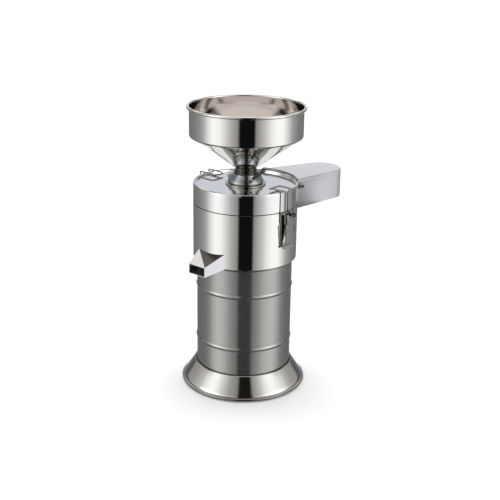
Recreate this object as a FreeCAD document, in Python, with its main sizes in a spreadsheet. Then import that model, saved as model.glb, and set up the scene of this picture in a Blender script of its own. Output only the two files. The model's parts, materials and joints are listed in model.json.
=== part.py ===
import FreeCAD, Part
import math
import os

import Sketcher

# Soybean grinder with a vertical motor, a pair of grinding stones, a spinning
# sieve basket, a milk spout and a covered residue chute.
# Millimetres. Floor at z = 0, shaft on the Z axis, spout towards -Y, latches
# near +X and -X, chute towards the back.

doc = FreeCAD.newDocument("SoybeanGrinder")
sheet = doc.addObject("Spreadsheet::Sheet", "Dims")

DRIVING = [
    ("sheet_thickness", 1.5),
    ("seat_gap", 0.3),
    ("run_gap", 0.5),
    # Base
    ("base_flare", 35.0),
    ("base_bead", 5.0),
    ("ground_gap", 3.0),
    ("skirt_top", 50.0),
    ("skirt_flange", 22.0),
    ("floor_rise", 9.5),
    ("plate_thickness", 3.0),
    ("foot_diameter", 26.0),
    ("foot_inset", 12.0),
    ("foot_screw", 6.0),
    # Lower casing and motor
    ("casing_diameter", 220.0),
    ("casing_top", 303.5),
    ("rib_low", 113.6),
    ("rib_high", 241.6),
    ("rib_width", 11.0),
    ("rib_rise", 1.7),
    ("motor_clearance", 29.5),
    ("motor_bottom", 72.0),
    ("motor_plate", 8.0),
    ("core_height", 100.0),
    ("core_middle", 180.0),
    ("stator_depth", 25.0),
    ("winding_height", 22.0),
    ("shaft_diameter", 24.0),
    ("spindle_diameter", 16.0),
    ("bearing_diameter", 52.0),
    ("bearing_width", 13.0),
    ("capacitor_diameter", 26.0),
    ("capacitor_height", 72.0),
    # Switch and cable inlet
    ("switch_turn", 130.0),
    ("switch_middle", 186.0),
    ("switch_width", 34.0),
    ("switch_height", 48.0),
    ("switch_depth", 9.0),
    ("rocker_width", 20.0),
    ("rocker_height", 27.0),
    ("rocker_rise", 4.0),
    ("gland_height", 82.0),
    ("gland_diameter", 22.0),
    ("gland_bore", 9.0),
    # Grinding chamber
    ("chamber_step", 9.0),
    ("shoulder_rise", 7.1),
    ("chamber_height", 125.6),
    ("tube_radius", 24.0),
    ("tube_rise", 34.4),
    ("basket_drop", 50.2),
    ("basket_flare", 48.0),
    ("basket_clearance", 13.5),
    ("basket_depth", 55.0),
    ("basket_sheet", 1.5),
    ("basket_hub_radius", 30.0),
    ("window_count", 12.0),
    ("window_width", 20.0),
    ("stone_diameter", 100.0),
    ("stone_seat", 14.0),
    ("lower_stone_height", 23.7),
    ("upper_stone_height", 22.3),
    ("stone_bore", 34.0),
    # Milk spout
    ("spout_turn", -90.0),
    ("spout_reach", 161.5),
    ("spout_seat", 1.1),
    ("spout_left_depth", 31.5),
    ("spout_right_depth", 35.0),
    ("spout_root_width", 76.0),
    ("spout_fall", 9.5),
    ("spout_lip_height", 23.0),
    ("spout_lip_width", 47.2),
    # Lid
    ("lid_height", 46.3),
    ("lid_bead", 6.0),
    ("lid_recess", 5.5),
    ("gasket_depth", 10.0),
    # Residue chute
    ("chute_turn", 76.75),
    ("chute_depth", 67.5),
    ("chute_rise", 2.5),
    ("chute_root_inset", 43.0),
    ("chute_slope", 0.1272),
    ("chute_reach", 103.0),
    ("chute_sheet", 1.8),
    ("chute_round", 6.0),
    ("weld_radius", 2.2),
    ("weld_sweep", 66.0),
    # Neck, adjusting ring and feed
    ("neck_flange_radius", 45.6),
    ("neck_flange_height", 3.0),
    ("neck_radius", 26.0),
    ("carrier_radius", 21.7),
    ("carrier_bore", 18.5),
    ("ring_low_radius", 40.5),
    ("ring_top_radius", 32.0),
    ("ring_rise", 25.5),
    ("ring_skirt", 7.0),
    ("lever_turn", -27.0),
    ("lever_rise", 31.0),
    ("lever_length", 77.5),
    ("lever_stem", 5.0),
    ("lever_grip", 9.5),
    ("lever_ball", 11.0),
    ("lock_turn", -175.0),
    ("lock_rise", 10.0),
    ("lock_screw", 5.0),
    ("lock_knob", 9.0),
    # Hopper
    ("hopper_diameter", 256.0),
    ("hopper_sheet", 1.2),
    ("hopper_band", 66.5),
    ("hopper_bead", 7.0),
    ("hopper_cone", 72.0),
    ("hopper_throat", 48.0),
    ("hopper_neck", 13.1),
    ("collar_gap", 0.9),
    ("collar_height", 6.2),
    ("collar_radius", 28.5),
    ("spigot_depth", 23.0),
    ("feed_bore", 33.0),
    # Draw latches
    ("latch_turn", -0.5),
    ("latch_plate_length", 81.0),
    ("latch_plate_rise", 10.0),
    ("latch_plate_width", 34.0),
    ("pivot_offset", 12.5),
    ("pivot_drop", 11.2),
    ("pivot_diameter", 4.0),
    ("hook_offset", 9.5),
    ("hook_drop", 14.0),
    ("latch_lever_width", 24.4),
    ("latch_handle_width", 34.0),
    ("latch_lever_length", 69.0),
    ("bail_wire", 3.5),
    ("bail_spread", 28.6),
    ("bail_offset", 7.5),
    ("bail_reach", 38.0),
    ("bail_bend", 4.0),
]


class Dim:
    """A size: its value now and the expression that ties it to the table."""

    def __init__(self, value, text):
        self.value = float(value)
        self.text = text

    def __add__(self, other):
        other = as_dim(other)
        return Dim(self.value + other.value, "(%s + %s)" % (self.text, other.text))

    def __radd__(self, other):
        return as_dim(other) + self

    def __sub__(self, other):
        other = as_dim(other)
        return Dim(self.value - other.value, "(%s - %s)" % (self.text, other.text))

    def __rsub__(self, other):
        return as_dim(other) - self

    def __mul__(self, other):
        other = as_dim(other)
        return Dim(self.value * other.value, "(%s * %s)" % (self.text, other.text))

    def __rmul__(self, other):
        return as_dim(other) * self

    def __truediv__(self, other):
        other = as_dim(other)
        return Dim(self.value / other.value, "(%s / %s)" % (self.text, other.text))

    def __rtruediv__(self, other):
        return as_dim(other) / self

    def __neg__(self):
        return Dim(-self.value, "(0 - %s)" % self.text)

    def root(self):
        return Dim(math.sqrt(self.value), "sqrt(%s)" % self.text)


def as_dim(size):
    if isinstance(size, Dim):
        return size
    return Dim(size, "%.6f" % size)


class Sizes:
    """The table's cells, one attribute for each alias."""


size = Sizes()
for row, (alias, number) in enumerate(DRIVING, start=1):
    sheet.set("A%d" % row, alias)
    sheet.set("B%d" % row, str(number))
    sheet.setAlias("B%d" % row, alias)
    setattr(size, alias, Dim(number, "Dims." + alias))
doc.recompute()

NODES = []


# Helpers: bodies, sketches and features

def new_body(label, turn=None):
    item = doc.addObject("PartDesign::Body", label)
    item.Label = label
    item.AllowCompound = True
    if turn is not None:
        item.Placement = FreeCAD.Placement(
            FreeCAD.Vector(0, 0, 0), FreeCAD.Rotation(FreeCAD.Vector(0, 0, 1), turn.value)
        )
        item.setExpression("Placement.Rotation.Angle", turn.text)
    NODES.append(item)
    return item


def origin_item(item, role):
    for feature in item.Origin.OriginFeatures:
        if feature.Role == role:
            return feature
    raise RuntimeError("no origin feature " + role)


def new_sketch(item, name, role, lift=None):
    sketch = item.newObject("Sketcher::SketchObject", name)
    sketch.AttachmentSupport = [(origin_item(item, role), "")]
    sketch.MapMode = "FlatFace"
    if lift is not None:
        lift = as_dim(lift)
        sketch.AttachmentOffset = FreeCAD.Placement(
            FreeCAD.Vector(0, 0, lift.value), FreeCAD.Rotation()
        )
        sketch.setExpression("AttachmentOffset.Base.z", lift.text)
    return sketch


def pin(sketch, geometry, end, x, y):
    """Place a point of a sketch from the origin, by linked distances."""
    for kind, axis, place in (("DistanceX", -2, x), ("DistanceY", -1, y)):
        place = as_dim(place)
        if place.value == 0.0:
            sketch.addConstraint(Sketcher.Constraint("PointOnObject", geometry, end, axis))
            continue
        if place.value > 0.0:
            rule = Sketcher.Constraint(kind, -1, 1, geometry, end, place.value)
            text = place.text
        else:
            rule = Sketcher.Constraint(kind, geometry, end, -1, 1, -place.value)
            text = "0 - " + place.text
        index = sketch.addConstraint(rule)
        sketch.setExpression("Constraints[%d]" % index, text)


def add_circle(sketch, x, y, radius):
    centre = FreeCAD.Vector(as_dim(x).value, as_dim(y).value, 0)
    circle = Part.Circle(centre, FreeCAD.Vector(0, 0, 1), radius.value)
    index = sketch.addGeometry(circle, False)
    rule = sketch.addConstraint(Sketcher.Constraint("Radius", index, radius.value))
    sketch.setExpression("Constraints[%d]" % rule, radius.text)
    pin(sketch, index, 3, x, y)


def add_arc(sketch, start, end, radius, turn):
    """Minor arc from start to end, turn is 1 for anticlockwise or -1."""
    first = start if turn > 0 else end
    last = end if turn > 0 else start
    middle = (first + last) * 0.5
    along = last - first
    half = along.Length / 2
    side = FreeCAD.Vector(-along.y, along.x, 0).normalize()
    centre = middle + side * math.sqrt(max(radius.value ** 2 - half ** 2, 0.0))
    begin = math.atan2(first.y - centre.y, first.x - centre.x)
    finish = math.atan2(last.y - centre.y, last.x - centre.x)
    circle = Part.Circle(centre, FreeCAD.Vector(0, 0, 1), radius.value)
    index = sketch.addGeometry(Part.ArcOfCircle(circle, begin, finish), False)
    rule = sketch.addConstraint(Sketcher.Constraint("Radius", index, radius.value))
    sketch.setExpression("Constraints[%d]" % rule, radius.text)
    return index, (1 if turn > 0 else 2), (2 if turn > 0 else 1)


def add_outline(sketch, corners):
    """Closed outline. A corner is (x, y), or (x, y, radius, turn) where an arc leaves it."""
    points = [FreeCAD.Vector(as_dim(c[0]).value, as_dim(c[1]).value, 0) for c in corners]
    ends = []
    for number, corner in enumerate(corners):
        start = points[number]
        end = points[(number + 1) % len(points)]
        if len(corner) == 4:
            ends.append(add_arc(sketch, start, end, corner[2], corner[3]))
        else:
            index = sketch.addGeometry(Part.LineSegment(start, end), False)
            ends.append((index, 1, 2))
    for number, corner in enumerate(corners):
        before = ends[number - 1]
        after = ends[number]
        sketch.addConstraint(
            Sketcher.Constraint("Coincident", before[0], before[2], after[0], after[1])
        )
        pin(sketch, after[0], after[1], corner[0], corner[1])


def box_corners(x_low, x_high, y_low, y_high):
    return [(x_low, y_low), (x_high, y_low), (x_high, y_high), (x_low, y_high)]


def finish_feature(item, feature, removes, before):
    doc.recompute()
    item.Tip = feature
    doc.recompute()
    after = item.Shape.Volume
    if removes and not after < before - 0.01:
        raise RuntimeError(feature.Name + " removes nothing")
    if not removes and not after > before + 0.01:
        raise RuntimeError(feature.Name + " adds nothing")
    return feature


def volume_of(item):
    return item.Shape.Volume if item.Tip else 0.0


def turned(item, name, corners, removes=False, circle=None, angle=360.0):
    """Material turned about the body's Z axis, from an outline of (radius, height)."""
    before = volume_of(item)
    sketch = new_sketch(item, name + "Outline", "XZ_Plane")
    if circle is None:
        add_outline(sketch, corners)
    else:
        add_circle(sketch, circle[0], circle[1], circle[2])
    kind = "PartDesign::Groove" if removes else "PartDesign::Revolution"
    feature = item.newObject(kind, name)
    feature.Profile = sketch
    feature.ReferenceAxis = (sketch, ["V_Axis"])
    angle = as_dim(angle)
    feature.Angle = angle.value
    if angle.value < 360.0:
        feature.setExpression("Angle", angle.text)
    return finish_feature(item, feature, removes, before)


def extruded(item, name, role, lift, length, corners=None, circles=(), removes=False):
    """Pad or pocket that starts at lift and goes along the plane's normal."""
    before = volume_of(item)
    sketch = new_sketch(item, name + "Sketch", role, lift)
    if corners is not None:
        add_outline(sketch, corners)
    for x, y, radius in circles:
        add_circle(sketch, x, y, radius)
    kind = "PartDesign::Pocket" if removes else "PartDesign::Pad"
    feature = item.newObject(kind, name)
    feature.Profile = sketch
    length = as_dim(length)
    feature.Length = length.value
    feature.setExpression("Length", length.text)
    feature.Reversed = removes
    return finish_feature(item, feature, removes, before)


def repeated(item, name, feature, count, removes=False):
    """Polar pattern of a feature about the body's Z axis."""
    before = volume_of(item)
    pattern = item.newObject("PartDesign::PolarPattern", name)
    pattern.Originals = [feature]
    pattern.Axis = (origin_item(item, "Z_Axis"), [""])
    pattern.Angle = 360.0
    count = as_dim(count)
    pattern.Occurrences = int(round(count.value))
    if "Dims" in count.text:
        pattern.setExpression("Occurrences", count.text)
    return finish_feature(item, pattern, removes, before)


def edges_where(shape, rule):
    return ["Edge%d" % (n + 1) for n, edge in enumerate(shape.Edges) if rule(edge)]


def rounded(item, name, rule, radius):
    """Fillet of the edges for which rule is true."""
    base = item.Tip
    feature = item.newObject("PartDesign::Fillet", name)
    feature.Base = (base, edges_where(base.Shape, rule))
    feature.Radius = radius.value
    feature.setExpression("Radius", radius.text)
    doc.recompute()
    item.Tip = feature
    doc.recompute()
    return feature


def plain_part(label, shape, turn=None):
    """Part with a computed shape, in the same turned frame as a body."""
    item = doc.addObject("Part::Feature", label)
    item.Label = label
    item.Shape = shape
    if turn is not None:
        item.Placement = FreeCAD.Placement(
            FreeCAD.Vector(0, 0, 0), FreeCAD.Rotation(FreeCAD.Vector(0, 0, 1), turn.value)
        )
        item.setExpression("Placement.Rotation.Angle", turn.text)
    NODES.append(item)
    return item


# Sizes worked out from the driving ones

wall = size.sheet_thickness
gap = size.seat_gap
shoulder_top = size.casing_top + size.shoulder_rise
seam_height = shoulder_top + size.chamber_height
lid_top = seam_height + size.lid_height
plate_top = lid_top - size.lid_recess
tube_top = shoulder_top + size.tube_rise
basket_floor = seam_height - size.basket_drop
basket_rim_height = basket_floor + size.basket_depth
stone_bottom = basket_floor + size.stone_seat
stone_face = stone_bottom + size.lower_stone_height
stone_top = stone_face + size.upper_stone_height
spout_root_low = shoulder_top - size.spout_seat
spout_root_left = spout_root_low + size.spout_left_depth
spout_root_right = spout_root_low + size.spout_right_depth
spout_lip_low = spout_root_low - size.spout_fall
spout_lip_top = spout_lip_low + size.spout_lip_height
chute_top = lid_top + size.chute_rise
chute_low = chute_top - size.chute_depth
ring_top = plate_top + size.ring_rise
lock_height = plate_top + size.lock_rise
collar_low = ring_top + size.collar_gap
hopper_throat_top = collar_low + size.hopper_neck
hopper_shoulder = hopper_throat_top + size.hopper_cone
rim_height = hopper_shoulder + size.hopper_band
pivot_height = seam_height - size.pivot_drop
hook_height = pivot_height - size.hook_drop
latch_lever_low = pivot_height - size.latch_lever_length
latch_plate_high = pivot_height + size.latch_plate_rise
latch_plate_low = latch_plate_high - size.latch_plate_length
bail_top = lid_top + gap + size.bail_wire / 2
casing_radius = size.casing_diameter / 2
casing_inside = casing_radius - wall
chamber_radius = casing_radius + size.chamber_step
chamber_inside = chamber_radius - wall
basket_rim_radius = chamber_inside - size.basket_clearance
basket_floor_radius = basket_rim_radius - size.basket_flare
chute_root_half = chamber_radius - size.chute_root_inset
chute_end_centre = chamber_radius + size.chute_reach
base_radius = casing_radius + size.base_flare
base_bead_radius = size.base_bead / 2
foot_circle_radius = casing_radius - size.foot_inset
base_plate_top = size.floor_rise + size.plate_thickness
motor_radius = casing_inside - size.motor_clearance
clip_sheet = as_dim(1.2)
capacitor_radius = motor_radius + size.capacitor_diameter / 2 + 2 * gap + clip_sheet
shaft_radius = size.shaft_diameter / 2
spindle_radius = size.spindle_diameter / 2
bearing_radius = size.bearing_diameter / 2
motor_plate_top = size.casing_top
motor_plate_low = motor_plate_top - size.motor_plate
core_low = size.core_middle - size.core_height / 2
core_high = size.core_middle + size.core_height / 2
stator_radius = motor_radius - 4
stator_bore = 2 * (stator_radius - size.stator_depth)
bolt_circle = motor_radius - 13
stone_radius = size.stone_diameter / 2
hopper_radius = size.hopper_diameter / 2
throat_radius = size.hopper_throat / 2
neck_low = plate_top + gap
neck_flange_top = neck_low + size.neck_flange_height
ring_low = neck_flange_top + gap


# Base: flared skirt with a rolled rim, floor plate and feet

base_skirt = new_body("base_skirt")
bead_centre_radius = base_radius - base_bead_radius
bead_centre_height = size.ground_gap + base_bead_radius
flange_inner = base_radius - base_bead_radius - size.skirt_flange
turned(base_skirt, "SkirtSheet", [
    (casing_radius + gap, size.skirt_top + 1),
    (casing_radius + gap, size.skirt_top - 0.8),
    (casing_radius + 2.2, size.skirt_top - 1.8),
    (casing_radius + 5.2, size.skirt_top - 5),
    (base_radius - 6, size.floor_rise),
    (flange_inner, size.floor_rise),
    (flange_inner, size.floor_rise - wall),
    (bead_centre_radius - 2, size.floor_rise - wall),
    (bead_centre_radius - 1, bead_centre_height + 0.5),
    (bead_centre_radius + 1.5, bead_centre_height + 0.5),
    (casing_radius + 7, size.skirt_top - 4),
    (casing_radius + 3.5, size.skirt_top - 0.3),
])
turned(base_skirt, "RolledRim", None,
       circle=(bead_centre_radius, bead_centre_height, base_bead_radius))

base_plate = new_body("base_plate")
turned(base_plate, "FloorPlate", [
    (0, size.floor_rise),
    (bead_centre_radius - 10, size.floor_rise),
    (bead_centre_radius - 10, base_plate_top),
    (0, base_plate_top),
])
plate_hole = extruded(
    base_plate, "FootHole", "XY_Plane", size.floor_rise - 1, size.plate_thickness + 2,
    circles=[(foot_circle_radius, 0, size.foot_screw / 2 + gap)], removes=True,
)
repeated(base_plate, "FootHoles", plate_hole, 4, removes=True)
vent_hole = extruded(
    base_plate, "VentSlot", "XY_Plane", size.floor_rise - 1, size.plate_thickness + 2,
    corners=box_corners(42, 68, -5, 5), removes=True,
)
repeated(base_plate, "VentSlots", vent_hole, 8, removes=True)

rubber_feet = new_body("rubber_feet")
foot = extruded(
    rubber_feet, "Foot", "XY_Plane", 0, size.floor_rise,
    circles=[
        (foot_circle_radius, 0, size.foot_diameter / 2),
        (foot_circle_radius, 0, size.foot_screw / 2 + gap),
    ],
)
foot_well = extruded(
    rubber_feet, "ScrewWell", "XY_Plane", -1, size.floor_rise - 3,
    circles=[(foot_circle_radius, 0, size.foot_screw + 1)], removes=True,
)
feet_pattern = rubber_feet.newObject("PartDesign::PolarPattern", "Feet")
feet_pattern.Originals = [foot, foot_well]
feet_pattern.Axis = (origin_item(rubber_feet, "Z_Axis"), [""])
feet_pattern.Angle = 360.0
feet_pattern.Occurrences = 4
finish_feature(rubber_feet, feet_pattern, False, volume_of(rubber_feet))

foot_screws = new_body("foot_screws")
screw_head = extruded(
    foot_screws, "ScrewHead", "XY_Plane", size.floor_rise - 7.3, 3,
    circles=[(foot_circle_radius, 0, size.foot_screw)],
)
screw_shank = extruded(
    foot_screws, "ScrewShank", "XY_Plane", size.floor_rise - 5, size.plate_thickness + 11,
    circles=[(foot_circle_radius, 0, size.foot_screw / 2)],
)
screw_nut = extruded(
    foot_screws, "ScrewNut", "XY_Plane", base_plate_top + gap, 4,
    circles=[(foot_circle_radius, 0, size.foot_screw * 0.9)],
)
screw_pattern = foot_screws.newObject("PartDesign::PolarPattern", "FootScrews")
screw_pattern.Originals = [screw_head, screw_shank, screw_nut]
screw_pattern.Axis = (origin_item(foot_screws, "Z_Axis"), [""])
screw_pattern.Angle = 360.0
screw_pattern.Occurrences = 4
finish_feature(foot_screws, screw_pattern, False, volume_of(foot_screws))


# Lower casing: rolled sheet with two beads and an inner ledge for the motor plate

lower_casing = new_body("lower_casing", size.switch_turn)
rib_half = size.rib_width / 2
rib_radius = (rib_half * rib_half + size.rib_rise * size.rib_rise) / (2 * size.rib_rise)
ledge_top = motor_plate_low - gap
turned(lower_casing, "CasingSheet", [
    (casing_inside, base_plate_top + gap),
    (casing_radius, base_plate_top + gap),
    (casing_radius, size.rib_low - rib_half, rib_radius, 1),
    (casing_radius, size.rib_low + rib_half),
    (casing_radius, size.rib_high - rib_half, rib_radius, 1),
    (casing_radius, size.rib_high + rib_half),
    (casing_radius, size.casing_top),
    (casing_inside, size.casing_top),
    (casing_inside, ledge_top),
    (casing_inside - 7, ledge_top),
    (casing_inside - 7, ledge_top - 3),
    (casing_inside, ledge_top - 3),
])
switch_hole_half = size.rocker_width / 2 + 3
switch_hole_rise = size.rocker_height / 2 + 3
extruded(
    lower_casing, "SwitchHole", "YZ_Plane", casing_inside - 10, 20,
    corners=box_corners(
        -switch_hole_half, switch_hole_half,
        size.switch_middle - switch_hole_rise, size.switch_middle + switch_hole_rise,
    ),
    removes=True,
)
extruded(
    lower_casing, "InletHole", "YZ_Plane", casing_inside - 10, 20,
    circles=[(0, size.gland_height, size.gland_diameter / 2 - 3 + gap)], removes=True,
)


# Motor, held by the plate that closes the top of the lower casing

motor_plate = new_body("motor_plate")
turned(motor_plate, "PlateDisc", [
    (bearing_radius + gap, motor_plate_low),
    (casing_inside - gap, motor_plate_low),
    (casing_inside - gap, motor_plate_top),
    (shaft_radius + 3, motor_plate_top),
    (shaft_radius + 3, motor_plate_top - 4),
    (bearing_radius + gap, motor_plate_top - 4),
])
bolt_hole = extruded(
    motor_plate, "BoltHole", "XY_Plane", motor_plate_low - 1, size.motor_plate + 2,
    circles=[(bolt_circle, 0, as_dim(3) + gap)], removes=True,
)
repeated(motor_plate, "BoltHoles", bolt_hole, 4, removes=True)

motor_shell = new_body("motor_shell")
turned(motor_shell, "ShellTube", [
    (motor_radius, size.motor_bottom),
    (motor_radius, motor_plate_low - gap),
    (bearing_radius + gap, motor_plate_low - gap),
    (bearing_radius + gap, motor_plate_low - 8),
    (stator_radius, motor_plate_low - 8),
    (stator_radius, size.motor_bottom + 8),
    (bearing_radius + gap, size.motor_bottom + 8),
    (bearing_radius + gap, size.motor_bottom + 14),
    (bearing_radius - 6, size.motor_bottom + 14),
    (bearing_radius - 6, size.motor_bottom),
])
fin = extruded(
    motor_shell, "Fin", "XY_Plane", core_low, size.core_height,
    corners=box_corners(motor_radius - 1, motor_radius + 5, -1.25, 1.25),
)
repeated(motor_shell, "Fins", fin, 12)

stator_core = new_body("stator_core")
turned(stator_core, "StatorStack", [
    (stator_bore / 2, core_low),
    (stator_radius, core_low),
    (stator_radius, core_high),
    (stator_bore / 2, core_high),
])

stator_windings = new_body("stator_windings")
turned(stator_windings, "LowerWinding", [
    (stator_bore / 2 + 3, core_low - size.winding_height),
    (stator_radius - 3, core_low - size.winding_height),
    (stator_radius - 3, core_low),
    (stator_bore / 2 + 3, core_low),
])
turned(stator_windings, "UpperWinding", [
    (stator_bore / 2 + 3, core_high),
    (stator_radius - 3, core_high),
    (stator_radius - 3, core_high + size.winding_height),
    (stator_bore / 2 + 3, core_high + size.winding_height),
])

motor_bearings = new_body("motor_bearings")
lower_bearing_low = size.motor_bottom + 14 + gap
upper_bearing_low = motor_plate_top - 4 - gap - size.bearing_width
turned(motor_bearings, "LowerBearing", [
    (shaft_radius - 2 + 0.05, lower_bearing_low),
    (bearing_radius, lower_bearing_low),
    (bearing_radius, lower_bearing_low + size.bearing_width),
    (shaft_radius - 2 + 0.05, lower_bearing_low + size.bearing_width),
])
turned(motor_bearings, "UpperBearing", [
    (shaft_radius + 0.05, upper_bearing_low),
    (bearing_radius, upper_bearing_low),
    (bearing_radius, upper_bearing_low + size.bearing_width),
    (shaft_radius + 0.05, upper_bearing_low + size.bearing_width),
])

motor_bolts = new_body("motor_bolts")
bolt_shank = extruded(
    motor_bolts, "BoltShank", "XY_Plane", motor_plate_low - 16, size.motor_plate + 16,
    circles=[(bolt_circle, 0, as_dim(3))],
)
bolt_head = extruded(
    motor_bolts, "BoltHead", "XY_Plane", motor_plate_low - 17, 6,
    circles=[(bolt_circle, 0, as_dim(5))],
)
bolt_pattern = motor_bolts.newObject("PartDesign::PolarPattern", "MotorBolts")
bolt_pattern.Originals = [bolt_shank, bolt_head]
bolt_pattern.Axis = (origin_item(motor_bolts, "Z_Axis"), [""])
bolt_pattern.Angle = 360.0
bolt_pattern.Occurrences = 4
finish_feature(motor_bolts, bolt_pattern, False, volume_of(motor_bolts))
shell_bolt_hole = extruded(
    motor_shell, "ShellBoltHole", "XY_Plane", motor_plate_low - 9, 10,
    circles=[(bolt_circle, 0, as_dim(3) + gap)], removes=True,
)
repeated(motor_shell, "ShellBoltHoles", shell_bolt_hole, 4, removes=True)

capacitor = new_body("capacitor", size.switch_turn + 90)
extruded(
    capacitor, "CapacitorCan", "XY_Plane", size.core_middle - 30, size.capacitor_height,
    circles=[(capacitor_radius, 0, size.capacitor_diameter / 2)],
)
extruded(
    capacitor, "Terminals", "XY_Plane", size.core_middle - 30 + size.capacitor_height, 7,
    circles=[
        (capacitor_radius, 5, as_dim(2)),
        (capacitor_radius, -5, as_dim(2)),
    ],
)
capacitor_clip = new_body("capacitor_clip", size.switch_turn + 90)
clip_inner = size.capacitor_diameter / 2 + gap
extruded(
    capacitor_clip, "ClipBand", "XY_Plane", size.core_middle, 10,
    circles=[
        (capacitor_radius, 0, clip_inner + clip_sheet),
        (capacitor_radius, 0, clip_inner),
    ],
)


# Switch and cable inlet on the side away from the spout

switch_frame = new_body("switch_frame", size.switch_turn)
switch_face = casing_radius + size.switch_depth
extruded(
    switch_frame, "FrameBlock", "YZ_Plane", casing_radius - 6, size.switch_depth + 6,
    corners=box_corners(
        -size.switch_width / 2, size.switch_width / 2,
        size.switch_middle - size.switch_height / 2,
        size.switch_middle + size.switch_height / 2,
    ),
)
turned(switch_frame, "CasingSeat", [
    (0, size.switch_middle - size.switch_height),
    (casing_radius, size.switch_middle - size.switch_height),
    (casing_radius, size.switch_middle + size.switch_height),
    (0, size.switch_middle + size.switch_height),
], removes=True)
extruded(
    switch_frame, "ContactBlock", "YZ_Plane", casing_radius - 24, 30,
    corners=box_corners(
        -size.rocker_width / 2 - 2, size.rocker_width / 2 + 2,
        size.switch_middle - size.rocker_height / 2 - 2,
        size.switch_middle + size.rocker_height / 2 + 2,
    ),
)
extruded(
    switch_frame, "RockerWell", "YZ_Plane", switch_face - 12, 20,
    corners=box_corners(
        -size.rocker_width / 2, size.rocker_width / 2,
        size.switch_middle - size.rocker_height / 2,
        size.switch_middle + size.rocker_height / 2,
    ),
    removes=True,
)
extruded(
    switch_frame, "PivotBore", "XZ_Plane", -size.rocker_width, size.rocker_width * 2,
    circles=[(switch_face - 3, size.switch_middle, as_dim(1.5) + 0.05)], removes=True,
)

switch_rocker = new_body("switch_rocker", size.switch_turn)
rocker_half = size.rocker_height / 2 - 1
extruded(
    switch_rocker, "RockerBar", "XZ_Plane", -(size.rocker_width / 2 - 0.4),
    size.rocker_width - 0.8,
    corners=[
        (switch_face - 7, size.switch_middle - 4),
        (switch_face - 1.5, size.switch_middle - rocker_half),
        (switch_face + size.rocker_rise - 2.5, size.switch_middle - rocker_half),
        (switch_face + 1.0, size.switch_middle),
        (switch_face + size.rocker_rise, size.switch_middle + rocker_half),
        (switch_face - 0.5, size.switch_middle + rocker_half),
        (switch_face - 7, size.switch_middle + 4),
    ],
)
extruded(
    switch_rocker, "RockerPivot", "XZ_Plane", -(size.rocker_width / 2 + 1.5),
    size.rocker_width + 3,
    circles=[(switch_face - 3, size.switch_middle, as_dim(1.5))],
)

cable_gland = new_body("cable_gland", size.switch_turn)
gland_radius = size.gland_diameter / 2
extruded(
    cable_gland, "GlandThread", "YZ_Plane", casing_inside - 8, wall + 9,
    circles=[(0, size.gland_height, gland_radius - 3)],
)
extruded(
    cable_gland, "GlandBody", "YZ_Plane", casing_radius + gap, 6,
    circles=[(0, size.gland_height, gland_radius)],
)
extruded(
    cable_gland, "GlandCap", "YZ_Plane", casing_radius + gap + 5, 11,
    circles=[(0, size.gland_height, gland_radius - 2)],
)
extruded(
    cable_gland, "GlandNut", "YZ_Plane", casing_inside - 6, 4.5,
    circles=[(0, size.gland_height, gland_radius)],
)
extruded(
    cable_gland, "GlandBore", "YZ_Plane", casing_inside - 9, 40,
    circles=[(0, size.gland_height, size.gland_bore / 2)], removes=True,
)


# Grinding chamber: spun bowl with a centre tube and the milk spout

upper_casing = new_body("upper_casing", size.spout_turn)
bowl_low = size.casing_top + gap
turned(upper_casing, "Bowl", [
    (size.tube_radius - wall, bowl_low),
    (casing_radius, bowl_low),
    (chamber_radius, shoulder_top),
    (chamber_radius, seam_height - gap),
    (chamber_inside, seam_height - gap),
    (chamber_inside, shoulder_top + 0.6),
    (casing_radius - 0.6, bowl_low + wall),
    (size.tube_radius, bowl_low + wall),
    (size.tube_radius, tube_top),
    (size.tube_radius - wall, tube_top),
])
mouth_half = size.spout_root_width / 2 - 4
extruded(
    upper_casing, "SpoutOpening", "YZ_Plane", chamber_inside - 25, 60,
    corners=box_corners(
        -mouth_half, mouth_half,
        spout_root_low + wall + 1, spout_root_left - wall - 2,
    ),
    removes=True,
)


def solid_between(rear, front):
    """Solid of flat faces between two four-cornered ends, each low-left first."""
    low_left, low_right, high_right, high_left = rear
    lip_low_left, lip_low_right, lip_high_right, lip_high_left = front
    faces = [
        rear,
        front,
        [low_left, low_right, lip_low_right, lip_low_left],
        [low_left, high_left, lip_high_left, lip_low_left],
        [low_right, high_right, lip_high_right, lip_low_right],
        [high_left, lip_high_left, lip_high_right],
        [high_left, lip_high_right, high_right],
    ]
    shell = Part.Shell([Part.Face(Part.makePolygon(face + [face[0]])) for face in faces])
    solid = Part.Solid(shell)
    if solid.Volume < 0:
        solid.reverse()
    return solid


def spout_corners(distance, inset):
    """Corners of the folded spout at a distance from the axis, inset from the outside."""
    root = math.sqrt(chamber_radius.value ** 2 - (size.spout_root_width.value / 2) ** 2)
    share = (distance - root) / (size.spout_reach.value - root)

    def between(start, end):
        return start + (end - start) * share

    half = between(size.spout_root_width.value / 2, size.spout_lip_width.value / 2) - inset
    low = between(spout_root_low.value, spout_lip_low.value) + inset
    left = between(spout_root_left.value, spout_lip_top.value) - inset
    right = between(spout_root_right.value, spout_lip_top.value) - inset
    return [
        FreeCAD.Vector(distance, -half, low),
        FreeCAD.Vector(distance, half, low),
        FreeCAD.Vector(distance, half, right),
        FreeCAD.Vector(distance, -half, left),
    ]


spout_start = chamber_radius.value - 20
spout_outside = solid_between(
    spout_corners(spout_start, 0.0), spout_corners(size.spout_reach.value, 0.0)
)
spout_inside = solid_between(
    spout_corners(spout_start - 5, wall.value),
    spout_corners(size.spout_reach.value + 5, wall.value),
)
chamber_cylinder = Part.makeCylinder(
    chamber_radius.value, lid_top.value, FreeCAD.Vector(0, 0, 0)
)
milk_spout = plain_part(
    "milk_spout", spout_outside.cut(spout_inside).cut(chamber_cylinder), size.spout_turn
)

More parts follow.
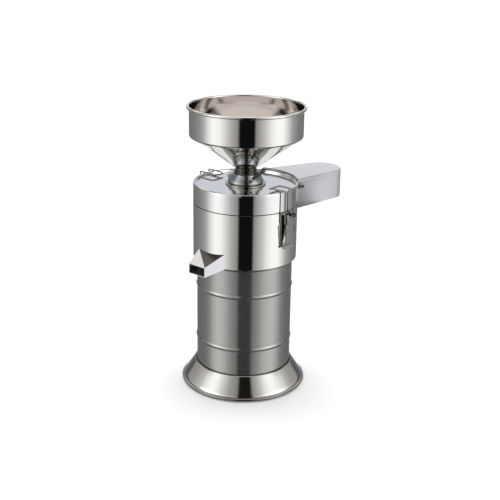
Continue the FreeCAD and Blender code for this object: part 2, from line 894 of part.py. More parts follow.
lid_gasket = new_body("lid_gasket")
turned(lid_gasket, "GasketRing", [
    (chamber_inside - gap - 2.2, seam_height - size.gasket_depth),
    (chamber_inside - gap, seam_height - size.gasket_depth),
    (chamber_inside - gap, seam_height + 4),
    (chamber_inside - gap - 2.2, seam_height + 3),
])


# Rotating group: shaft, rotor, fan, slinger, sieve basket and lower stone

basket_hub_low = basket_floor - 8
motor_shaft = new_body("motor_shaft")
turned(motor_shaft, "Spindle", [
    (0, size.motor_bottom + 6),
    (shaft_radius - 2, size.motor_bottom + 6),
    (shaft_radius - 2, core_low - 8),
    (shaft_radius, core_low - 8),
    (shaft_radius, tube_top + 10),
    (spindle_radius, tube_top + 14),
    (spindle_radius, stone_bottom),
    (as_dim(6), stone_bottom),
    (as_dim(6), stone_face + 3),
    (0, stone_face + 3),
])

rotor_core = new_body("rotor_core")
turned(rotor_core, "RotorStack", [
    (shaft_radius, core_low + 2),
    (stator_bore / 2 - 0.6, core_low + 2),
    (stator_bore / 2 - 0.6, core_high - 2),
    (shaft_radius, core_high - 2),
])

cooling_fan = new_body("cooling_fan")
fan_low = core_low - 27
turned(cooling_fan, "FanHub", [
    (shaft_radius - 2, fan_low),
    (as_dim(20), fan_low),
    (as_dim(20), fan_low + 3),
    (shaft_radius + 6, fan_low + 12),
    (shaft_radius - 2, fan_low + 12),
])
blade = extruded(
    cooling_fan, "Blade", "XY_Plane", fan_low, 12,
    corners=box_corners(16, stator_bore / 2 - 2, -1.25, 1.25),
)
repeated(cooling_fan, "Blades", blade, 8)

slinger = new_body("slinger")
turned(slinger, "SlingerBell", [
    (spindle_radius, tube_top + 16),
    (size.tube_radius + 3, tube_top + 8),
    (size.tube_radius + 3, tube_top - 12),
    (size.tube_radius + 5, tube_top - 12),
    (size.tube_radius + 5, tube_top + 9),
    (spindle_radius + 3, tube_top + 20),
    (spindle_radius + 3, basket_hub_low - gap),
    (spindle_radius, basket_hub_low - gap),
])

basket = new_body("basket")
sheet_b = size.basket_sheet
turned(basket, "BasketCone", [
    (spindle_radius, basket_hub_low),
    (size.basket_hub_radius - 10, basket_hub_low),
    (size.basket_hub_radius, basket_floor),
    (basket_floor_radius, basket_floor),
    (basket_rim_radius, basket_rim_height),
    (basket_rim_radius + 4, basket_rim_height),
    (basket_rim_radius + 4, basket_rim_height + sheet_b),
    (basket_rim_radius - 1.2, basket_rim_height + sheet_b),
    (basket_floor_radius - 1, basket_floor + sheet_b),
    (size.basket_hub_radius, basket_floor + sheet_b),
    (size.basket_hub_radius, stone_bottom - gap),
    (spindle_radius, stone_bottom - gap),
])
window_low = basket_floor + 10
window_high = basket_rim_height - 9
sieve_window = extruded(
    basket, "SieveWindow", "YZ_Plane", basket_floor_radius - 4,
    basket_rim_radius - basket_floor_radius + 12,
    corners=[
        (-size.window_width / 2 + 2, window_low),
        (size.window_width / 2 - 2, window_low),
        (size.window_width / 2 + 4, window_high),
        (-size.window_width / 2 - 4, window_high),
    ],
    removes=True,
)
repeated(basket, "SieveWindows", sieve_window, size.window_count, removes=True)

sieve_screen = new_body("sieve_screen")
cone_run = basket_rim_radius - basket_floor_radius
cone_rise = basket_rim_height - basket_floor
screen_low_radius = basket_floor_radius + cone_run * 5 / cone_rise - 2.75
screen_high_radius = basket_rim_radius - cone_run * 4 / cone_rise - 2.75
turned(sieve_screen, "ScreenCone", [
    (screen_low_radius, basket_floor + 5),
    (screen_high_radius, basket_rim_height - 4),
    (screen_high_radius - 0.8, basket_rim_height - 4),
    (screen_low_radius - 0.8, basket_floor + 5),
])

lower_stone = new_body("lower_stone")
turned(lower_stone, "LowerStone", [
    (spindle_radius + gap, stone_bottom),
    (stone_radius, stone_bottom),
    (stone_radius, stone_face),
    (size.stone_bore / 2 + 6, stone_face),
    (size.stone_bore / 2 + 1, stone_face - 9),
    (spindle_radius + gap, stone_face - 9),
])

stone_nut = new_body("stone_nut")
turned(stone_nut, "ClampWasher", [
    (as_dim(6), stone_face - 9 + gap),
    (size.stone_bore / 2 - 1, stone_face - 9 + gap),
    (size.stone_bore / 2 - 1, stone_face - 6),
    (as_dim(6), stone_face - 6),
])
nut_radius = as_dim(9.5)
nut_half = nut_radius * 0.8660254
extruded(
    stone_nut, "Nut", "XY_Plane", stone_face - 6, 8,
    corners=[
        (nut_radius, 0),
        (nut_radius / 2, nut_half),
        (-nut_radius / 2, nut_half),
        (-nut_radius, 0),
        (-nut_radius / 2, -nut_half),
        (nut_radius / 2, -nut_half),
    ],
)
extruded(
    stone_nut, "NutThread", "XY_Plane", stone_face - 10, 14,
    circles=[(0, 0, as_dim(6))], removes=True,
)


# Lid: band, rolled rim that stands round a sunk flat plate, and a window for the chute

lid = new_body("lid", size.chute_turn)
lid_bead_radius = size.lid_bead / 2
turned(lid, "LidSheet", [
    (chamber_inside, seam_height),
    (chamber_radius, seam_height),
    (chamber_radius, lid_top - lid_bead_radius),
    (chamber_radius - size.lid_bead, lid_top - lid_bead_radius),
    (chamber_radius - size.lid_bead, plate_top),
    (size.neck_radius - 1.7, plate_top),
    (size.neck_radius - 1.7, plate_top - wall),
    (chamber_inside, plate_top - wall),
])
turned(lid, "RolledEdge", None,
       circle=(chamber_radius - lid_bead_radius, lid_top - lid_bead_radius, lid_bead_radius))
chute_cosine = 1 / (1 + size.chute_slope * size.chute_slope).root()
chute_end_radius = (
    chute_root_half - chute_end_centre * size.chute_slope
) * chute_cosine
chute_sine = size.chute_slope * chute_cosine
window_half = chute_root_half - chamber_radius * size.chute_slope - size.chute_sheet - 1
chute_window_low = seam_height + 3
chute_window_high = plate_top - wall - 1
extruded(
    lid, "ChuteWindow", "YZ_Plane", chamber_radius - 60, 70,
    corners=box_corners(-window_half, window_half, chute_window_low, chute_window_high),
    removes=True,
)


# Residue chute: folded channel that widens to the lid and stays open underneath at its end

def chute_outline(start, inset, end_inset):
    """Plan of the chute from a distance start, with its walls moved in by inset."""
    side = chute_root_half - inset / chute_cosine
    radius = chute_end_radius - end_inset
    tangent_x = chute_end_centre + radius * chute_sine
    tangent_y = radius * chute_cosine
    root_y = side - start * size.chute_slope
    return [
        (start, -root_y),
        (tangent_x, -tangent_y, radius, 1),
        (tangent_x, tangent_y),
        (start, root_y),
    ]


residue_chute = new_body("residue_chute", size.chute_turn)
chute_height = chute_top - chute_low
extruded(
    residue_chute, "ChuteBlock", "XY_Plane", chute_low, chute_height,
    corners=chute_outline(chamber_radius - 45, as_dim(0), as_dim(0)),
)


def chute_top_edge(edge):
    box = edge.BoundBox
    flat = abs(box.ZMin - chute_top.value) < 0.01 and box.ZLength < 0.01
    return flat and box.XMax > chamber_radius.value


rounded(residue_chute, "FoldedEdge", chute_top_edge, size.chute_round)
chute_sheet = size.chute_sheet
turned(residue_chute, "CasingClearance", [
    (0, chute_low - 1),
    (chamber_radius + gap, chute_low - 1),
    (chamber_radius + gap, seam_height),
    (chamber_radius, seam_height),
    (chamber_radius, chute_top + 1),
    (0, chute_top + 1),
], removes=True)
duct_root = chamber_radius - 45
extruded(
    residue_chute, "UpperDuct", "XY_Plane", chute_window_low,
    chute_top - chute_sheet - chute_window_low,
    corners=chute_outline(duct_root, chute_sheet, chute_sheet), removes=True,
)
lower_start = chamber_radius + gap + chute_sheet
extruded(
    residue_chute, "OutletDuct", "XY_Plane", chute_low - 1,
    chute_window_low - chute_low + 2,
    corners=chute_outline(lower_start, chute_sheet, chute_sheet), removes=True,
)

chute_weld = new_body("chute_weld", size.chute_turn - size.weld_sweep / 2)
turned(chute_weld, "WeldBead", None, circle=(
    chamber_radius - size.weld_radius, lid_top + size.weld_radius,
    size.weld_radius), angle=size.weld_sweep)

chute_screws = new_body("chute_screws", size.chute_turn)
screw_side = chute_root_half - chamber_radius * size.chute_slope + 6.5
for side_name, side_sign in (("Left", 1), ("Right", -1)):
    extruded(
        chute_screws, side_name + "Screw", "YZ_Plane", chamber_radius - 22, 16,
        circles=[(side_sign * screw_side, lid_top - 14, as_dim(3.2))],
    )
turned(chute_screws, "ScrewSeat", [
    (0, seam_height),
    (chamber_radius, seam_height),
    (chamber_radius, lid_top),
    (0, lid_top),
], removes=True)


# Neck, adjusting ring with its lever and lock screw

lid_neck = new_body("lid_neck")
turned(lid_neck, "NeckTube", [
    (size.carrier_radius + gap, plate_top - wall - 6),
    (size.neck_radius - 2, plate_top - wall - 6),
    (size.neck_radius - 2, neck_low),
    (size.neck_flange_radius, neck_low),
    (size.neck_flange_radius, neck_flange_top - 1),
    (size.neck_flange_radius - 2, neck_flange_top),
    (size.neck_radius, neck_flange_top),
    (size.neck_radius, ring_top - 4.5),
    (size.carrier_radius + gap, ring_top - 4.5),
])

lever_tilt = FreeCAD.Rotation(FreeCAD.Vector(0, 1, 0), 90 - size.lever_rise.value)
lever_spin = FreeCAD.Rotation(FreeCAD.Vector(0, 0, 1), size.lever_turn.value)
lever_root = FreeCAD.Vector(size.ring_low_radius.value - 7.5, 0, ring_low.value + 11.2)
lever_placement = FreeCAD.Placement(
    lever_spin.multVec(lever_root), lever_spin.multiply(lever_tilt)
)
socket_radius = size.lever_stem / 2 + 1.5
ring_lip_top = ring_top - 2.5

ring_blank = new_body("ring_blank", size.lock_turn)
turned(ring_blank, "RingBody", [
    (size.neck_radius + size.run_gap, ring_low),
    (size.ring_low_radius - 3, ring_low),
    (size.ring_low_radius, ring_low + 3),
    (size.ring_low_radius - 1, ring_low + size.ring_skirt),
    (size.ring_top_radius + 1, ring_top - 4),
    (size.ring_top_radius - 2, ring_top),
    (size.carrier_radius + 3.8, ring_top),
    (size.carrier_radius + 3.8, ring_lip_top),
    (size.carrier_radius + 0.8, ring_lip_top),
    (size.carrier_radius + 0.8, ring_top - 4),
    (size.neck_radius + size.run_gap, ring_top - 4),
])

extruded(
    ring_blank, "LockHole", "YZ_Plane", size.neck_radius - 2, 20,
    circles=[(0, lock_height, size.lock_screw / 2 + gap)], removes=True,
)
NODES.remove(ring_blank)

lever_socket = doc.addObject("Part::Cylinder", "LeverSocket")
lever_socket.Placement = lever_placement
lever_socket.Radius = (socket_radius + gap).value
lever_socket.setExpression("Radius", (socket_radius + gap).text)
lever_socket.Height = 20
adjusting_ring = doc.addObject("Part::Cut", "adjusting_ring")
adjusting_ring.Label = "adjusting_ring"
adjusting_ring.Base = ring_blank
adjusting_ring.Tool = lever_socket
NODES.append(adjusting_ring)

ring_lever = new_body("ring_lever")
turned(ring_lever, "LeverStem", [
    (0, gap),
    (socket_radius, gap),
    (socket_radius, 9),
    (size.lever_stem / 2, 11),
    (size.lever_stem / 2, size.lever_length - 8),
    (0, size.lever_length - 8),
])
ring_lever.Placement = lever_placement

lever_grip = new_body("lever_grip")
grip_bore = size.lever_stem / 2 + 0.05
turned(lever_grip, "GripSleeve", [
    (grip_bore, 15),
    (size.lever_stem / 2 + 1, 15),
    (size.lever_grip / 2, 20),
    (size.lever_grip / 2, size.lever_length - 9),
    (size.lever_grip / 2 - 1, size.lever_length - 7.5),
    (size.lever_grip / 2 - 1, size.lever_length - 6),
    (size.lever_ball / 2, size.lever_length - 5),
    (size.lever_ball / 2, size.lever_length - 1),
    (size.lever_ball / 2 - 1, size.lever_length),
    (0, size.lever_length),
    (0, size.lever_length - 7.7),
    (grip_bore, size.lever_length - 7.7),
])
lever_grip.Placement = lever_placement

lock_screw = new_body("ring_lock_screw", size.lock_turn)
extruded(
    lock_screw, "LockShank", "YZ_Plane", size.neck_radius + 1, 16,
    circles=[(0, lock_height, size.lock_screw / 2)],
)
extruded(
    lock_screw, "LockKnob", "YZ_Plane", size.ring_low_radius, 7.5,
    circles=[(0, lock_height, size.lock_knob / 2)],
)


# Stone carrier, feed throat and upper stone

stone_carrier = new_body("stone_carrier")
carrier_top = collar_low - gap
turned(stone_carrier, "CarrierTube", [
    (size.carrier_bore, stone_top),
    (stone_radius, stone_top),
    (stone_radius, stone_top + 5),
    (size.carrier_radius + 8, stone_top + 5),
    (size.carrier_radius, stone_top + 14),
    (size.carrier_radius, ring_lip_top + gap),
    (size.carrier_radius + 3, ring_lip_top + gap),
    (size.carrier_radius + 3, carrier_top),
    (size.carrier_bore, carrier_top),
])

upper_stone = new_body("upper_stone")
turned(upper_stone, "UpperStone", [
    (size.stone_bore / 2 + 6, stone_face + gap),
    (stone_radius, stone_face + gap),
    (stone_radius, stone_top),
    (size.stone_bore / 2, stone_top),
    (size.stone_bore / 2, stone_face + 8),
])

stone_bolts = new_body("stone_bolts")
carrier_hole = extruded(
    stone_carrier, "BoltHole", "XY_Plane", stone_top - 1, 12,
    circles=[(stone_radius - 12, 0, as_dim(2.5))], removes=True,
)
repeated(stone_carrier, "CarrierBoltHoles", carrier_hole, 3, removes=True)
stone_bolt = extruded(
    stone_bolts, "StoneBolt", "XY_Plane", stone_top + gap, 6,
    circles=[(stone_radius - 12, 0, as_dim(2.5) - gap)],
)
stone_bolt_head = extruded(
    stone_bolts, "StoneBoltHead", "XY_Plane", stone_top + 5 + gap, 4,
    circles=[(stone_radius - 12, 0, as_dim(4.5))],
)
stone_bolt_pattern = stone_bolts.newObject("PartDesign::PolarPattern", "StoneBolts")
stone_bolt_pattern.Originals = [stone_bolt, stone_bolt_head]
stone_bolt_pattern.Axis = (origin_item(stone_bolts, "Z_Axis"), [""])
stone_bolt_pattern.Angle = 360.0
stone_bolt_pattern.Occurrences = 3
finish_feature(stone_bolts, stone_bolt_pattern, False, volume_of(stone_bolts))


# Hopper with its collar and spigot

hopper = new_body("hopper")
hopper_bead_radius = size.hopper_bead / 2
hopper_bead_centre = rim_height - hopper_bead_radius
hopper_low = collar_low + size.collar_height + gap
sheet_h = size.hopper_sheet
turned(hopper, "HopperSheet", [
    (throat_radius, hopper_low),
    (throat_radius, hopper_throat_top - 1),
    (throat_radius + 4, hopper_throat_top + 0.5),
    (hopper_radius - 3, hopper_shoulder - 3.5),
    (hopper_radius, hopper_shoulder + 1),
    (hopper_radius, hopper_bead_centre),
    (hopper_radius - sheet_h, hopper_bead_centre),
    (hopper_radius - sheet_h, hopper_shoulder + 1.4),
    (hopper_radius - 3.9, hopper_shoulder - 2.6),
    (throat_radius + 3.4, hopper_throat_top + 1.7),
    (throat_radius - sheet_h, hopper_throat_top - 0.4),
    (throat_radius - sheet_h, hopper_low),
])
turned(hopper, "RolledBrim", None, circle=(
    hopper_radius - sheet_h + hopper_bead_radius, hopper_bead_centre, hopper_bead_radius))

hopper_collar = new_body("hopper_collar")
feed_radius = size.feed_bore / 2
turned(hopper_collar, "CollarRing", [
    (feed_radius, collar_low - size.spigot_depth),
    (size.carrier_bore - gap, collar_low - size.spigot_depth),
    (size.carrier_bore - gap, collar_low),
    (size.collar_radius - 1, collar_low),
    (size.collar_radius, collar_low + 1),
    (size.collar_radius, collar_low + size.collar_height - 1),
    (size.collar_radius - 1, collar_low + size.collar_height),
    (throat_radius - sheet_h - gap, collar_low + size.collar_height),
    (throat_radius - sheet_h - gap, hopper_low + 4),
    (throat_radius - sheet_h - 1.5, hopper_low + 4),
    (feed_radius, collar_low - 3),
])


# Draw latches: bracket, lever and wire bail on each side

def bent_wire(points, bend, thickness):
    """Round wire through the points with every corner bent to the radius bend."""
    pieces = []
    start = points[0]
    for before, corner, after in zip(points, points[1:], points[2:]):
        inward = (before - corner).normalize()
        outward = (after - corner).normalize()
        opening = inward.getAngle(outward)
        cut = bend / math.tan(opening / 2)
        enter = corner + inward * cut
        leave = corner + outward * cut
        bisector = (inward + outward).normalize()
        centre = corner + bisector * (bend / math.sin(opening / 2))
        middle = centre - bisector * bend
        pieces.append(Part.LineSegment(start, enter).toShape())
        pieces.append(Part.Arc(enter, middle, leave).toShape())
        start = leave
    pieces.append(Part.LineSegment(start, points[-1]).toShape())
    path = Part.Wire(pieces)
    first_leg = (points[1] - points[0]).normalize()
    ring = Part.Wire(Part.makeCircle(thickness / 2, points[0], first_leg))
    return path.makePipeShell([ring], True, True)


def build_latch(side, turn):
    plate_half = size.latch_plate_width / 2
    pivot_x = chamber_radius + size.pivot_offset
    lever_half = size.latch_lever_width / 2
    ear_outer = lever_half - wall - gap
    pin_radius = size.pivot_diameter / 2
    ear_reach = pin_radius + 0.2
    web_reach = ear_reach + 2 * gap
    bracket = new_body("latch_bracket_" + side, turn)
    extruded(
        bracket, "Plate" + side, "YZ_Plane", chamber_radius - 3, 4.4,
        corners=[
            (-plate_half + 6, latch_plate_low),
            (plate_half - 6, latch_plate_low),
            (plate_half, latch_plate_low + 8),
            (plate_half, latch_plate_high - 4),
            (plate_half - 4, latch_plate_high),
            (-plate_half + 4, latch_plate_high),
            (-plate_half, latch_plate_high - 4),
            (-plate_half, latch_plate_low + 8),
        ],
    )
    for name, lift in (("EarA", -ear_outer), ("EarB", ear_outer - wall)):
        extruded(
            bracket, name + side, "XZ_Plane", lift, wall,
            corners=[
                (chamber_radius + 0.5, pivot_height - 12),
                (pivot_x - 1, pivot_height - 5.5),
                (pivot_x + ear_reach, pivot_height - 1.5),
                (pivot_x + ear_reach, pivot_height + 1.5),
                (pivot_x - 1.3, pivot_height + ear_reach + 0.2),
                (chamber_radius + 0.5, pivot_height + 8),
            ],
        )
    turned(bracket, "ChamberSeat" + side, [
        (0, latch_plate_low - 5),
        (chamber_radius, latch_plate_low - 5),
        (chamber_radius, latch_plate_high + 5),
        (0, latch_plate_high + 5),
    ], removes=True)
    extruded(
        bracket, "PivotPin" + side, "XZ_Plane", -lever_half, lever_half * 2,
        circles=[(pivot_x, pivot_height, pin_radius)],
    )

    hook_x = chamber_radius + size.hook_offset
    lever = new_body("latch_lever_" + side, turn)
    low = latch_lever_low
    extruded(
        lever, "Channel" + side, "XZ_Plane", -lever_half, lever_half * 2,
        corners=[
            (pivot_x - 4.5, pivot_height + 6),
            (pivot_x + 4.5, pivot_height + 8),
            (pivot_x + 6, pivot_height + 6),
            (chamber_radius + 5, low + 3),
            (chamber_radius + 8.5, low - 3),
            (chamber_radius + 7, low - 3.6),
            (chamber_radius + 3.2, low + 1),
            (hook_x - 4, hook_height - 5),
        ],
    )
    extruded(
        lever, "ChannelInside" + side, "XZ_Plane", -lever_half + wall,
        lever_half * 2 - wall * 2,
        corners=[
            (pivot_x - 12, pivot_height + 12),
            (pivot_x + 12, pivot_height + 12),
            (pivot_x + 12, pivot_height - 0.5),
            (pivot_x + web_reach, pivot_height - 0.5),
            (chamber_radius + 3.4, low + 3.6),
            (chamber_radius - 2, low + 3.6),
        ],
        removes=True,
    )
    handle_top = hook_height - 8
    handle_share = (handle_top - low) / (pivot_height - low)
    inner_top_x = chamber_radius + 3.4 + (pivot_x + web_reach - chamber_radius - 3.4) * handle_share
    extruded(
        lever, "FingerPlate" + side, "XZ_Plane", -size.latch_handle_width / 2,
        size.latch_handle_width,
        corners=[
            (inner_top_x + 0.2, handle_top),
            (inner_top_x + wall, handle_top),
            (chamber_radius + 5, low + 3),
            (chamber_radius + 8.5, low - 3),
            (chamber_radius + 7, low - 3.6),
            (chamber_radius + 3.4, low + 3),
        ],
    )
    pivot_hole = pin_radius + gap
    hook_hole = size.bail_wire / 2 + gap
    extruded(
        lever, "PivotHoles" + side, "XZ_Plane", -lever_half - 1, lever_half * 2 + 2,
        circles=[
            (pivot_x, pivot_height, pivot_hole),
            (hook_x, hook_height, hook_hole),
        ],
        removes=True,
    )

    leg_y = size.bail_spread.value / 2
    end_y = lever_half.value - wall.value - 0.4
    rim = bail_top.value
    leg_x = (chamber_radius + size.bail_offset).value
    hook = (hook_x.value, hook_height.value)
    inner_x = leg_x - size.bail_reach.value
    half_path = [
        (hook[0], end_y, hook[1]),
        (hook[0], leg_y, hook[1]),
        (leg_x, leg_y, hook[1] + 26),
        (leg_x, leg_y, rim),
        (inner_x, leg_y, rim),
        (inner_x - 7, leg_y, rim - 2.2),
    ]
    other_half = [(x, -y, z) for x, y, z in reversed(half_path)]
    path = [FreeCAD.Vector(*point) for point in half_path + other_half]
    plain_part(
        "latch_bail_" + side,
        bent_wire(path, size.bail_bend.value - 1.5, size.bail_wire.value),
        turn,
    )


build_latch("right", size.latch_turn)
build_latch("left", size.latch_turn + 180)


# Check every object and write one file for each sub-part

doc.recompute()
for item in doc.Objects:
    if "Invalid" in item.State or "Error" in item.State:
        raise RuntimeError("object in error: " + item.Name)

os.makedirs("parts", exist_ok=True)
for item in NODES:
    shape = item.Shape
    if shape.isNull() or not shape.isValid():
        raise RuntimeError("bad shape: " + item.Label)
    shape.exportStep("parts/" + item.Label + ".step")
    print(item.Label, "solids", len(shape.Solids), "volume", round(shape.Volume))
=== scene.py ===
# %% [markdown]
# # A polished soybean grinder
# The metal here is thin stainless sheet, spun on a lathe and buffed until it mirrors the room.
# A mirror has hardly any colour of its own, so most of the look is made by what stands around it.
# The scene therefore starts with the frame, the camera and the room, and the finishes come after.

import json
import math

import bpy
from mathutils import Matrix, Vector


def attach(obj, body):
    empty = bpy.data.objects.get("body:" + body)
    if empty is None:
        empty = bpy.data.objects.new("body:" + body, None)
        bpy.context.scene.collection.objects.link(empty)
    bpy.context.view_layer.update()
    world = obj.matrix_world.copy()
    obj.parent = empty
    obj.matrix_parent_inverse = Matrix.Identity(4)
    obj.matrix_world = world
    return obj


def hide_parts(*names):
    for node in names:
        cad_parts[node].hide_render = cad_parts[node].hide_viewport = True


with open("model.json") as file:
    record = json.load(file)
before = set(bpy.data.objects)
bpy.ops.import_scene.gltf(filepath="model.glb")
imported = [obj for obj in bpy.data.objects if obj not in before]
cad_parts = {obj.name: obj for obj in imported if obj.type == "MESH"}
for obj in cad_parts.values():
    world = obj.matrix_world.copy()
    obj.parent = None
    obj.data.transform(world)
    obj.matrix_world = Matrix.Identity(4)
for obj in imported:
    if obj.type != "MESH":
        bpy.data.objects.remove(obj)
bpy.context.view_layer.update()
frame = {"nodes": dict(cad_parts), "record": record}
nodes = frame["nodes"]
bodies = frame["record"]["behaviour"]["bodies"]

# %% [markdown]
# ## Camera
# The camera looks down a little from the front right of the spout, with a long lens, so the rims
# of the drums show as flat ellipses. Its place was worked out from those ellipses. Below are its
# place, the direction it looks in and how far it is rolled about that direction.

# %% Place the camera
CAMERA_PLACE = Vector((1.4066, -1.6573, 1.0743))
LOOK = Vector((-0.60707, 0.72348, -0.32869)).normalized()
ROLL = math.radians(0.929)
LENS_MM = 71.8
SENSOR_MM = 36.0


def camera_axes(look, roll):
    """Right and up directions of a camera that looks along look and is rolled about it."""
    level_right = look.cross(Vector((0, 0, 1))).normalized()
    level_up = level_right.cross(look).normalized()
    right = level_right * math.cos(roll) + level_up * math.sin(roll)
    up = level_up * math.cos(roll) - level_right * math.sin(roll)
    return right, up


camera_data = bpy.data.cameras.new("studio_camera")
camera_data.lens = LENS_MM
camera_data.sensor_width = SENSOR_MM
camera = bpy.data.objects.new("studio_camera", camera_data)
bpy.context.scene.collection.objects.link(camera)
right, up = camera_axes(LOOK, ROLL)
turn = Matrix((right, up, -LOOK)).transposed().to_4x4()
camera.matrix_world = Matrix.Translation(CAMERA_PLACE) @ turn
bpy.context.scene.camera = camera
bpy.context.scene.view_settings.view_transform = "Standard"
print("camera looks", [round(c, 3) for c in LOOK])

# %% [markdown]
# ## Light values of the room
# Polished drums show the room as upright bands: a dark gap stands where the photographer is,
# between two wide soft lights, and greyer walls stand behind. A lamp for each band would be hard
# to place, so the room is a world shader that reads the direction of each ray. One colour ramp
# goes round the horizon for rays that point down and a second one for rays that point up, in
# degrees from the camera's side. A grey ramp over the height makes both lighter or darker. A
# ceiling panel and a window behind the machine are laid over them.

# %% Light values of the room
CAMERA_SIDE = math.degrees(math.atan2(-LOOK.y, -LOOK.x))

ROUND_LOW = [
    (-180, (1.05, 1.04, 1.00)),
    (-168, (1.05, 1.04, 1.00)),
    (-160, (0.16, 0.17, 0.19)),
    (-122, (0.25, 0.245, 0.24)),
    (-104, (0.34, 0.335, 0.33)),
    (-92, (0.52, 0.515, 0.51)),
    (-80, (0.92, 0.915, 0.90)),
    (-68, (1.20, 1.19, 1.17)),
    (-54, (1.12, 1.11, 1.09)),
    (-40, (0.78, 0.77, 0.76)),
    (-30, (0.52, 0.51, 0.50)),
    (-17, (0.33, 0.32, 0.31)),
    (-12, (0.006, 0.006, 0.006)),
    (16, (0.006, 0.006, 0.006)),
    (20, (0.30, 0.29, 0.28)),
    (38, (0.66, 0.65, 0.63)),
    (50, (1.00, 0.99, 0.97)),
    (62, (1.18, 1.17, 1.15)),
    (77, (1.20, 1.19, 1.18)),
    (89, (0.85, 0.84, 0.83)),
    (103, (0.42, 0.415, 0.41)),
    (124, (0.25, 0.245, 0.24)),
    (160, (0.16, 0.17, 0.19)),
    (168, (1.05, 1.04, 1.00)),
    (180, (1.05, 1.04, 1.00)),
]
ROUND_HIGH = [
    (-180, (0.37, 0.38, 0.41)),
    (-160, (0.33, 0.34, 0.36)),
    (-136, (0.16, 0.155, 0.15)),
    (-116, (0.20, 0.19, 0.18)),
    (-104, (0.26, 0.25, 0.24)),
    (-92, (0.34, 0.34, 0.33)),
    (-82, (0.76, 0.76, 0.75)),
    (-71, (1.26, 1.25, 1.24)),
    (-60, (1.22, 1.21, 1.20)),
    (-47, (0.82, 0.81, 0.80)),
    (-30, (0.44, 0.43, 0.42)),
    (-12, (0.28, 0.27, 0.25)),
    (-7, (0.01, 0.01, 0.01)),
    (17, (0.01, 0.01, 0.01)),
    (22, (0.32, 0.31, 0.29)),
    (38, (0.62, 0.61, 0.60)),
    (50, (1.02, 1.01, 1.00)),
    (62, (1.26, 1.25, 1.24)),
    (73, (1.18, 1.18, 1.17)),
    (86, (0.60, 0.60, 0.59)),
    (98, (0.32, 0.31, 0.30)),
    (112, (0.22, 0.21, 0.20)),
    (136, (0.16, 0.155, 0.15)),
    (160, (0.33, 0.34, 0.36)),
    (180, (0.37, 0.38, 0.41)),
]
BY_HEIGHT = [
    (-1.0, 0.12),
    (-0.74, 0.16),
    (-0.60, 1.0),
    (-0.16, 1.0),
    (-0.09, 0.50),
    (-0.01, 0.55),
    (0.07, 1.9),
    (0.34, 1.9),
    (0.46, 1.0),
    (0.64, 1.0),
    (0.74, 0.55),
    (0.80, 0.35),
    (1.0, 0.35),
]
OVERHEAD = (0.90, 0.86, 0.83)
BACK_WINDOW = (1.14, 1.11, 1.05)
BACKGROUND = (1.0, 1.0, 1.0)
BACK_LIGHT = (2.25, 2.25, 2.25)
FRONT_LIGHT = (0.38, 0.38, 0.38)
CAUGHT_LIGHT = (0.18, 0.18, 0.18)
HORIZON = (-0.12, 0.18)
WINDOW_BEHIND = (0.34, 0.54)
WINDOW_RISE = (0.42, 0.52)
CEILING_RISE = (0.79, 0.85)
LIGHT_TURNS = (-0.6, 0.5)
print("room stops", len(ROUND_LOW), len(ROUND_HIGH), len(BY_HEIGHT))

# %% [markdown]
# ## Shader helpers
# A shader is a graph of small nodes. Each of these helpers adds one step of such a graph, such as
# a ramp, a sum or a mix, and gives back the output to read. The finishes further down use them too.

# %% Shader helpers


def add_math(tree, operation, *values):
    """One sum of outputs or plain numbers."""
    node = tree.nodes.new("ShaderNodeMath")
    node.operation = operation
    for number, value in enumerate(values):
        if isinstance(value, float):
            node.inputs[number].default_value = value
        else:
            tree.links.new(value, node.inputs[number])
    return node.outputs[0]


def add_ramp(tree, stops):
    """Colour ramp whose stops are given in degrees round the horizon."""
    ramp = tree.nodes.new("ShaderNodeValToRGB")
    elements = ramp.color_ramp.elements
    while len(elements) > 1:
        elements.remove(elements[-1])
    elements[0].position = 0.0
    elements[0].color = (*stops[0][1], 1)
    for degrees, colour in stops[1:]:
        element = elements.new((degrees + 180) / 360)
        element.color = (*colour, 1)
    return ramp


def add_height_ramp(tree, rise, stops):
    """Grey ramp over the rise of a ray, from -1 for straight down to 1 for straight up."""
    ramp = add_ramp(tree, [(height * 180, (grey, grey, grey)) for height, grey in stops])
    tree.links.new(add_math(tree, "MULTIPLY_ADD", rise, 0.5, 0.5), ramp.inputs[0])
    return ramp.outputs[0]


def add_smooth(tree, value, low, high):
    """Share that goes softly from 0 at the low value to 1 at the high one."""
    node = tree.nodes.new("ShaderNodeMapRange")
    node.interpolation_type = "SMOOTHSTEP"
    node.inputs["From Min"].default_value = low
    node.inputs["From Max"].default_value = high
    tree.links.new(value, node.inputs["Value"])
    return node.outputs["Result"]


def colour_mix(tree, share, first, second, blend="MIX"):
    """Mix of two colours or colour outputs by a share from 0 to 1."""
    node = tree.nodes.new("ShaderNodeMixRGB")
    node.blend_type = blend
    if isinstance(share, float):
        node.inputs[0].default_value = share
    else:
        tree.links.new(share, node.inputs[0])
    for number, value in ((1, first), (2, second)):
        if isinstance(value, tuple):
            node.inputs[number].default_value = (*value, 1)
        else:
            tree.links.new(value, node.inputs[number])
    return node.outputs[0]


# %% [markdown]
# ## Room
# The values are joined to one world shader. What a ray sees depends on its kind. Where the camera
# looks straight at the room it is plain white. Rays that light matt surfaces see more light
# behind the machine than in front, so the shadow falls a little forward. Light that would reach
# the floor by way of the polished steel is kept dim, so it doesn't wash the shadow out.

# %% Build the room


